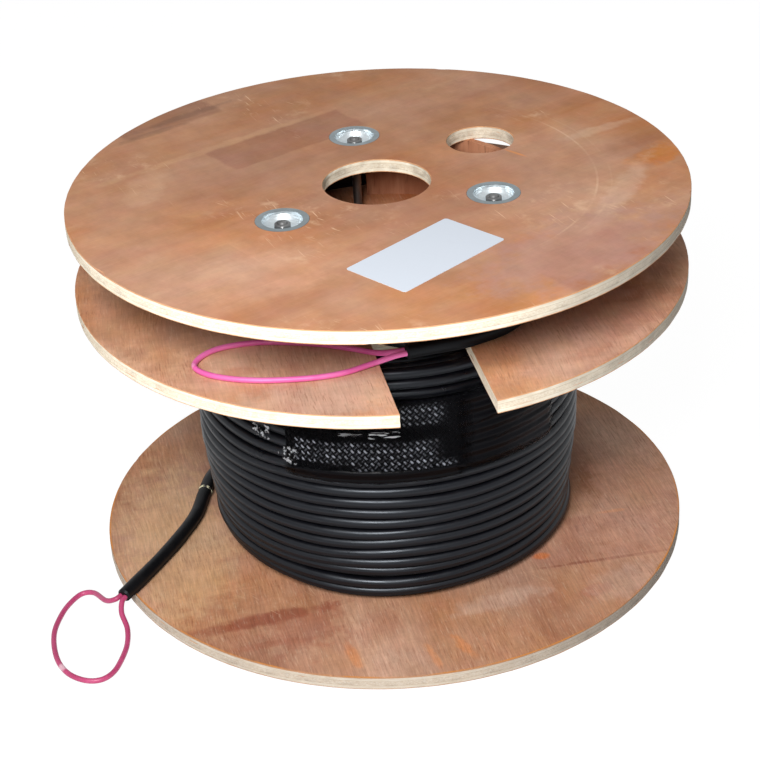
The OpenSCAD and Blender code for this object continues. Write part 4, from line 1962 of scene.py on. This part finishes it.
@dataclass
class Drum:
    """The drum's boards, cores, washers and label."""

    spindle: float = 35.0
    hand_hole: float = 22.5
    hand_reach: float = 92.0
    hand_azimuth: float = 40.0
    notch_azimuth: float = -80.0
    notch_width: float = 57.0
    notch_gap: float = 1.0
    bolt_reach: float = 78.0
    bolt_azimuths: tuple[float, float, float] = (100.0, -20.0, -140.0)
    bolt_hole: float = 3.25
    washer_gap: float = 0.2
    bowl_hole: float = 14.4
    rim_depth: float = 1.2

    def __post_init__(self) -> None:
        """Takes the washer's size from the frame."""
        low, high = node_box("top_cup_washer_1")
        self.washer = (high[0] - low[0]) / 2
        self.core = node_box("main_core")[1][0]

    def bolt_holes(self, seated: bool, below: bool = False) -> list[Hole]:
        """Gives the three bolt holes of a board.

        Args:
            seated: Whether they hold cup washers.
            below: Whether the washers sit in the underside.

        Returns:
            The holes.
        """
        places = [polar(self.bolt_reach, azimuth) for azimuth in self.bolt_azimuths]
        if not seated:
            return [Hole(x, y, self.bolt_hole, steps=32) for x, y in places]
        seat = self.washer + self.washer_gap
        return [Hole(x, y, self.bowl_hole, seat, self.rim_depth, below) for x, y in places]

    def finish_of(self, node: str, grain: Grain, seed: float, **looks: Any) -> BoardFinish:
        """Gives a board's finish with the place and thickness of its node."""
        low, high = node_box(node)
        return BoardFinish(f"{node}_veneer", low[2], high[2] - low[2], grain, seed, **looks)

    def boards(self) -> list[PlyBoard]:
        """Gives the three boards with their holes, chips and looks.

        Returns:
            The boards, from the top down.
        """
        spindle = Hole(0.0, 0.0, self.spindle, steps=160)
        hand = Hole(*polar(self.hand_reach, self.hand_azimuth), self.hand_hole, steps=128)
        notch = Notch(self.notch_azimuth, self.notch_width, self.core + self.notch_gap)
        top = self.finish_of(
            "top_flange", Grain.TOP, 1.0, light=srgb(208, 158, 126), middle=srgb(195, 143, 111),
            dark=srgb(181, 128, 97), mottle=0.5, fibre=0.05, ticks=0.02, pores=0.12, patches=0.05,
            scuffed=0.95, inlays=TOP_INLAYS, spots=TOP_SPOTS, rub_ring=141.0)
        middle = self.finish_of(
            "middle_flange", Grain.MIDDLE, 4.0, light=srgb(220, 172, 142), middle=srgb(206, 154, 124),
            dark=srgb(188, 130, 101), mottle=0.55, fibre=0.15, ticks=0.05, pores=0.8, patches=0.05,
            scuffed=0.4, inlays=MIDDLE_INLAYS, spots=MIDDLE_SPOTS)
        bottom = self.finish_of(
            "bottom_flange", Grain.BOTTOM, 7.0, light=srgb(204, 160, 133), middle=srgb(187, 140, 113),
            dark=srgb(166, 117, 92), mottle=0.42, fibre=0.36, ticks=0.07, pores=0.9, patches=0.06,
            scuffed=0.35, inlays=BOTTOM_INLAYS, spots=BOTTOM_SPOTS, rim_line=200.0,
            edge_tint=srgb(208, 205, 207))
        top_chips = (Chip(-147, 14, 0.9), Chip(-162, 7, 0.5), Chip(-12, 6, 0.5), Chip(-92, 6, 0.8, False),
                     Chip(75, 9, 0.6))
        middle_chips = (Chip(-40, 6, 0.6), Chip(140, 9, 0.7))
        bottom_chips = (Chip(-108, 8, 0.6), Chip(-30, 5, 0.5), Chip(160, 7, 0.5))
        return [
            PlyBoard("top_flange", top, 11, [spindle, hand] + self.bolt_holes(True), top_chips),
            PlyBoard("middle_flange", middle, 12, [spindle] + self.bolt_holes(False), middle_chips, notch),
            PlyBoard("bottom_flange", bottom, 13, [spindle] + self.bolt_holes(True, True), bottom_chips),
        ]

    def build(self) -> None:
        """Builds the boards and bolts, and dresses the nodes that keep their own solids."""
        for board in self.boards():
            board.build()
        core = CoreFinish("core_plywood", srgb(190, 132, 100), srgb(150, 94, 66)).build()
        rims = node_box("bottom_flange")[0][2], node_box("top_flange")[1][2]
        # The zinc's fourth colour is the painted dark reflection on the washers' flat rims.
        zinc = SteelFinish("zinc_steel", srgb(222, 229, 232), srgb(200, 208, 213), 0.42, srgb(150, 161, 165),
                           rims).build()
        dull = SteelFinish("bolt_steel", srgb(140, 140, 140), srgb(92, 90, 90), 0.42)
        paper = PaperFinish("label_paper", srgb(213, 220, 230)).build()
        for node in ("main_core", "upper_core"):
            self.dress(node, core)
        for number in range(1, 4):
            self.dress(f"top_cup_washer_{number}", zinc)
            self.dress(f"bottom_cup_washer_{number}", zinc)
            TieBolt(number, dull).build()
        self.dress("label", paper)

    @staticmethod
    def dress(node: str, material: Material) -> None:
        """Gives a CAD node its finish.

        Args:
            node: Name of the node.
            material: Its finish.
        """
        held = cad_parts[node]
        held.data.materials.clear()
        held.data.materials.append(material)
        held.data.shade_smooth()
        held.data.set_sharp_from_angle(angle=math.radians(Shading.CREASED.value))
        LOG.info("%s: kept, dressed in %s", node, material.name)


@dataclass(frozen=True)
class Studio:
    """Camera, floor and soft light."""

    stand: tuple[float, float, float] = (0.0, -1130.8, 759.7)
    pan: float = -0.0044
    tilt: float = 0.5275
    roll: float = -0.0545
    focal_pixels: float = 1918.0
    picture_width: float = 760.0
    sensor: float = 36.0
    world_light: float = 0.35
    far_side: float = 0.8
    low_down: float = 0.8
    key_power: float = 13.4
    key_place: tuple[float, float, float] = (-180.0, -890.0, 850.0)
    key_size: float = 380.0
    aim_level: float = 120.0
    floor_size: float = 5000.0

    def camera(self) -> None:
        """Sets up the camera at the photograph's viewing angle."""
        data = bpy.data.cameras.new("camera")
        data.sensor_fit = "HORIZONTAL"
        data.sensor_width = self.sensor
        data.lens = self.sensor * self.focal_pixels / self.picture_width
        forward = Vector((math.sin(self.pan) * math.cos(self.tilt), math.cos(self.pan) * math.cos(self.tilt),
                          -math.sin(self.tilt)))
        level = Vector((math.cos(self.pan), -math.sin(self.pan), 0))
        upward = level.cross(forward)
        right = level * math.cos(self.roll) + upward * math.sin(self.roll)
        up = upward * math.cos(self.roll) - level * math.sin(self.roll)
        held = bpy.data.objects.new("camera", data)
        axes = Matrix((right, up, -forward)).transposed().to_4x4()
        held.matrix_world = Matrix.Translation(Vector(self.stand) * MM) @ axes
        bpy.context.scene.collection.objects.link(held)
        bpy.context.scene.camera = held

    def lamp(self, name: str, place: tuple[float, float, float], size: float, power: float) -> None:
        """Adds a soft square lamp that looks at the drum.

        Args:
            name: Name of the lamp.
            place: Where it hangs, in millimetres.
            size: Its width, in millimetres.
            power: Its power in watts.
        """
        data = bpy.data.lights.new(name, "AREA")
        data.energy = power
        data.size = size * MM
        held = bpy.data.objects.new(name, data)
        held.location = Vector(place) * MM
        sight = Vector((0, 0, self.aim_level * MM)) - held.location
        held.rotation_euler = sight.to_track_quat("-Z", "Y").to_euler()
        bpy.context.scene.collection.objects.link(held)

    @staticmethod
    def seen(g: Graph) -> Socket:
        """Gives 1 for rays that show the background: straight, mirrored or through clear things.

        Args:
            g: Graph that takes the nodes.

        Returns:
            The share of background.
        """
        rays = g.add("LightPath").outputs
        mirrored = g.math("MAXIMUM", rays["Is Camera Ray"], g.times(rays["Is Glossy Ray"], 0.6))
        return g.math("MAXIMUM", mirrored, rays["Is Transmission Ray"])

    def world(self) -> None:
        """Sets up soft white light, weaker low down and on the far right side, with a white background."""
        world = bpy.data.worlds.new("studio_light")
        world.use_nodes = True
        g = Graph(world.node_tree)
        world.node_tree.nodes.clear()
        x, y, z = g.parts(g.add("TexCoord").outputs["Generated"])
        aside = g.math("MULTIPLY_ADD", x, 2.0, y)
        strength = g.times(g.between(aside, -0.6, 1.6, self.world_light, self.world_light * self.far_side),
                           g.between(z, 0.0, 0.7, self.low_down, 1.0))
        light = g.add("Background", {"Color": (1, 1, 1, 1), "Strength": strength})
        white = g.add("Background", {"Color": (1, 1, 1, 1), "Strength": 1.0})
        mixed = g.add("MixShader", {0: self.seen(g), 1: light.outputs[0], 2: white.outputs[0]})
        g.add("OutputWorld", {"Surface": mixed.outputs[0]})
        bpy.context.scene.world = world

    def floor(self) -> None:
        """Adds a plain pale floor that keeps a soft shadow."""
        half = self.floor_size / 2 * MM
        mesh = bpy.data.meshes.new("floor")
        corners = [(-half, -half, 0), (half, -half, 0), (half, half, 0), (-half, half, 0)]
        mesh.from_pydata(corners, [], [(0, 1, 2, 3)])
        held = bpy.data.objects.new("floor", mesh)
        held.location.z = -0.05 * MM
        bpy.context.scene.collection.objects.link(held)
        material = bpy.data.materials.new("floor")
        material.use_nodes = True
        g = Graph(material.node_tree)
        material.node_tree.nodes.clear()
        pale = g.add("BsdfDiffuse", {"Color": (0.95, 0.95, 0.95, 1)})
        white = g.add("Emission", {"Color": (1, 1, 1, 1), "Strength": 1.07})
        share = g.times(self.seen(g), 0.9)
        mixed = g.add("MixShader", {0: share, 1: pale.outputs[0], 2: white.outputs[0]})
        g.add("OutputMaterial", {"Surface": mixed.outputs[0]})
        mesh.materials.append(material)

    def build(self) -> None:
        """Sets up camera, floor and light."""
        bpy.context.scene.view_settings.view_transform = "Standard"
        self.camera()
        self.world()
        self.floor()
        self.lamp("key_lamp", self.key_place, self.key_size, self.key_power)


def main() -> None:
    """Builds the studio, the drum, the cable and its ends."""
    logging.basicConfig(level=logging.INFO, format="%(name)s %(message)s")
    Studio().build()
    CableEnds().build()
    Drum().build()
    jacket = JacketFinish("cable_jacket", srgb(9, 9, 14), 0.34, 0.10, 0.015, 0.40)
    WoundCable(jacket).build()
    braid = BraidedSleeve()
    braid.build()
    StretchFilm(braid).build()


if __name__ == "__main__":
    main()
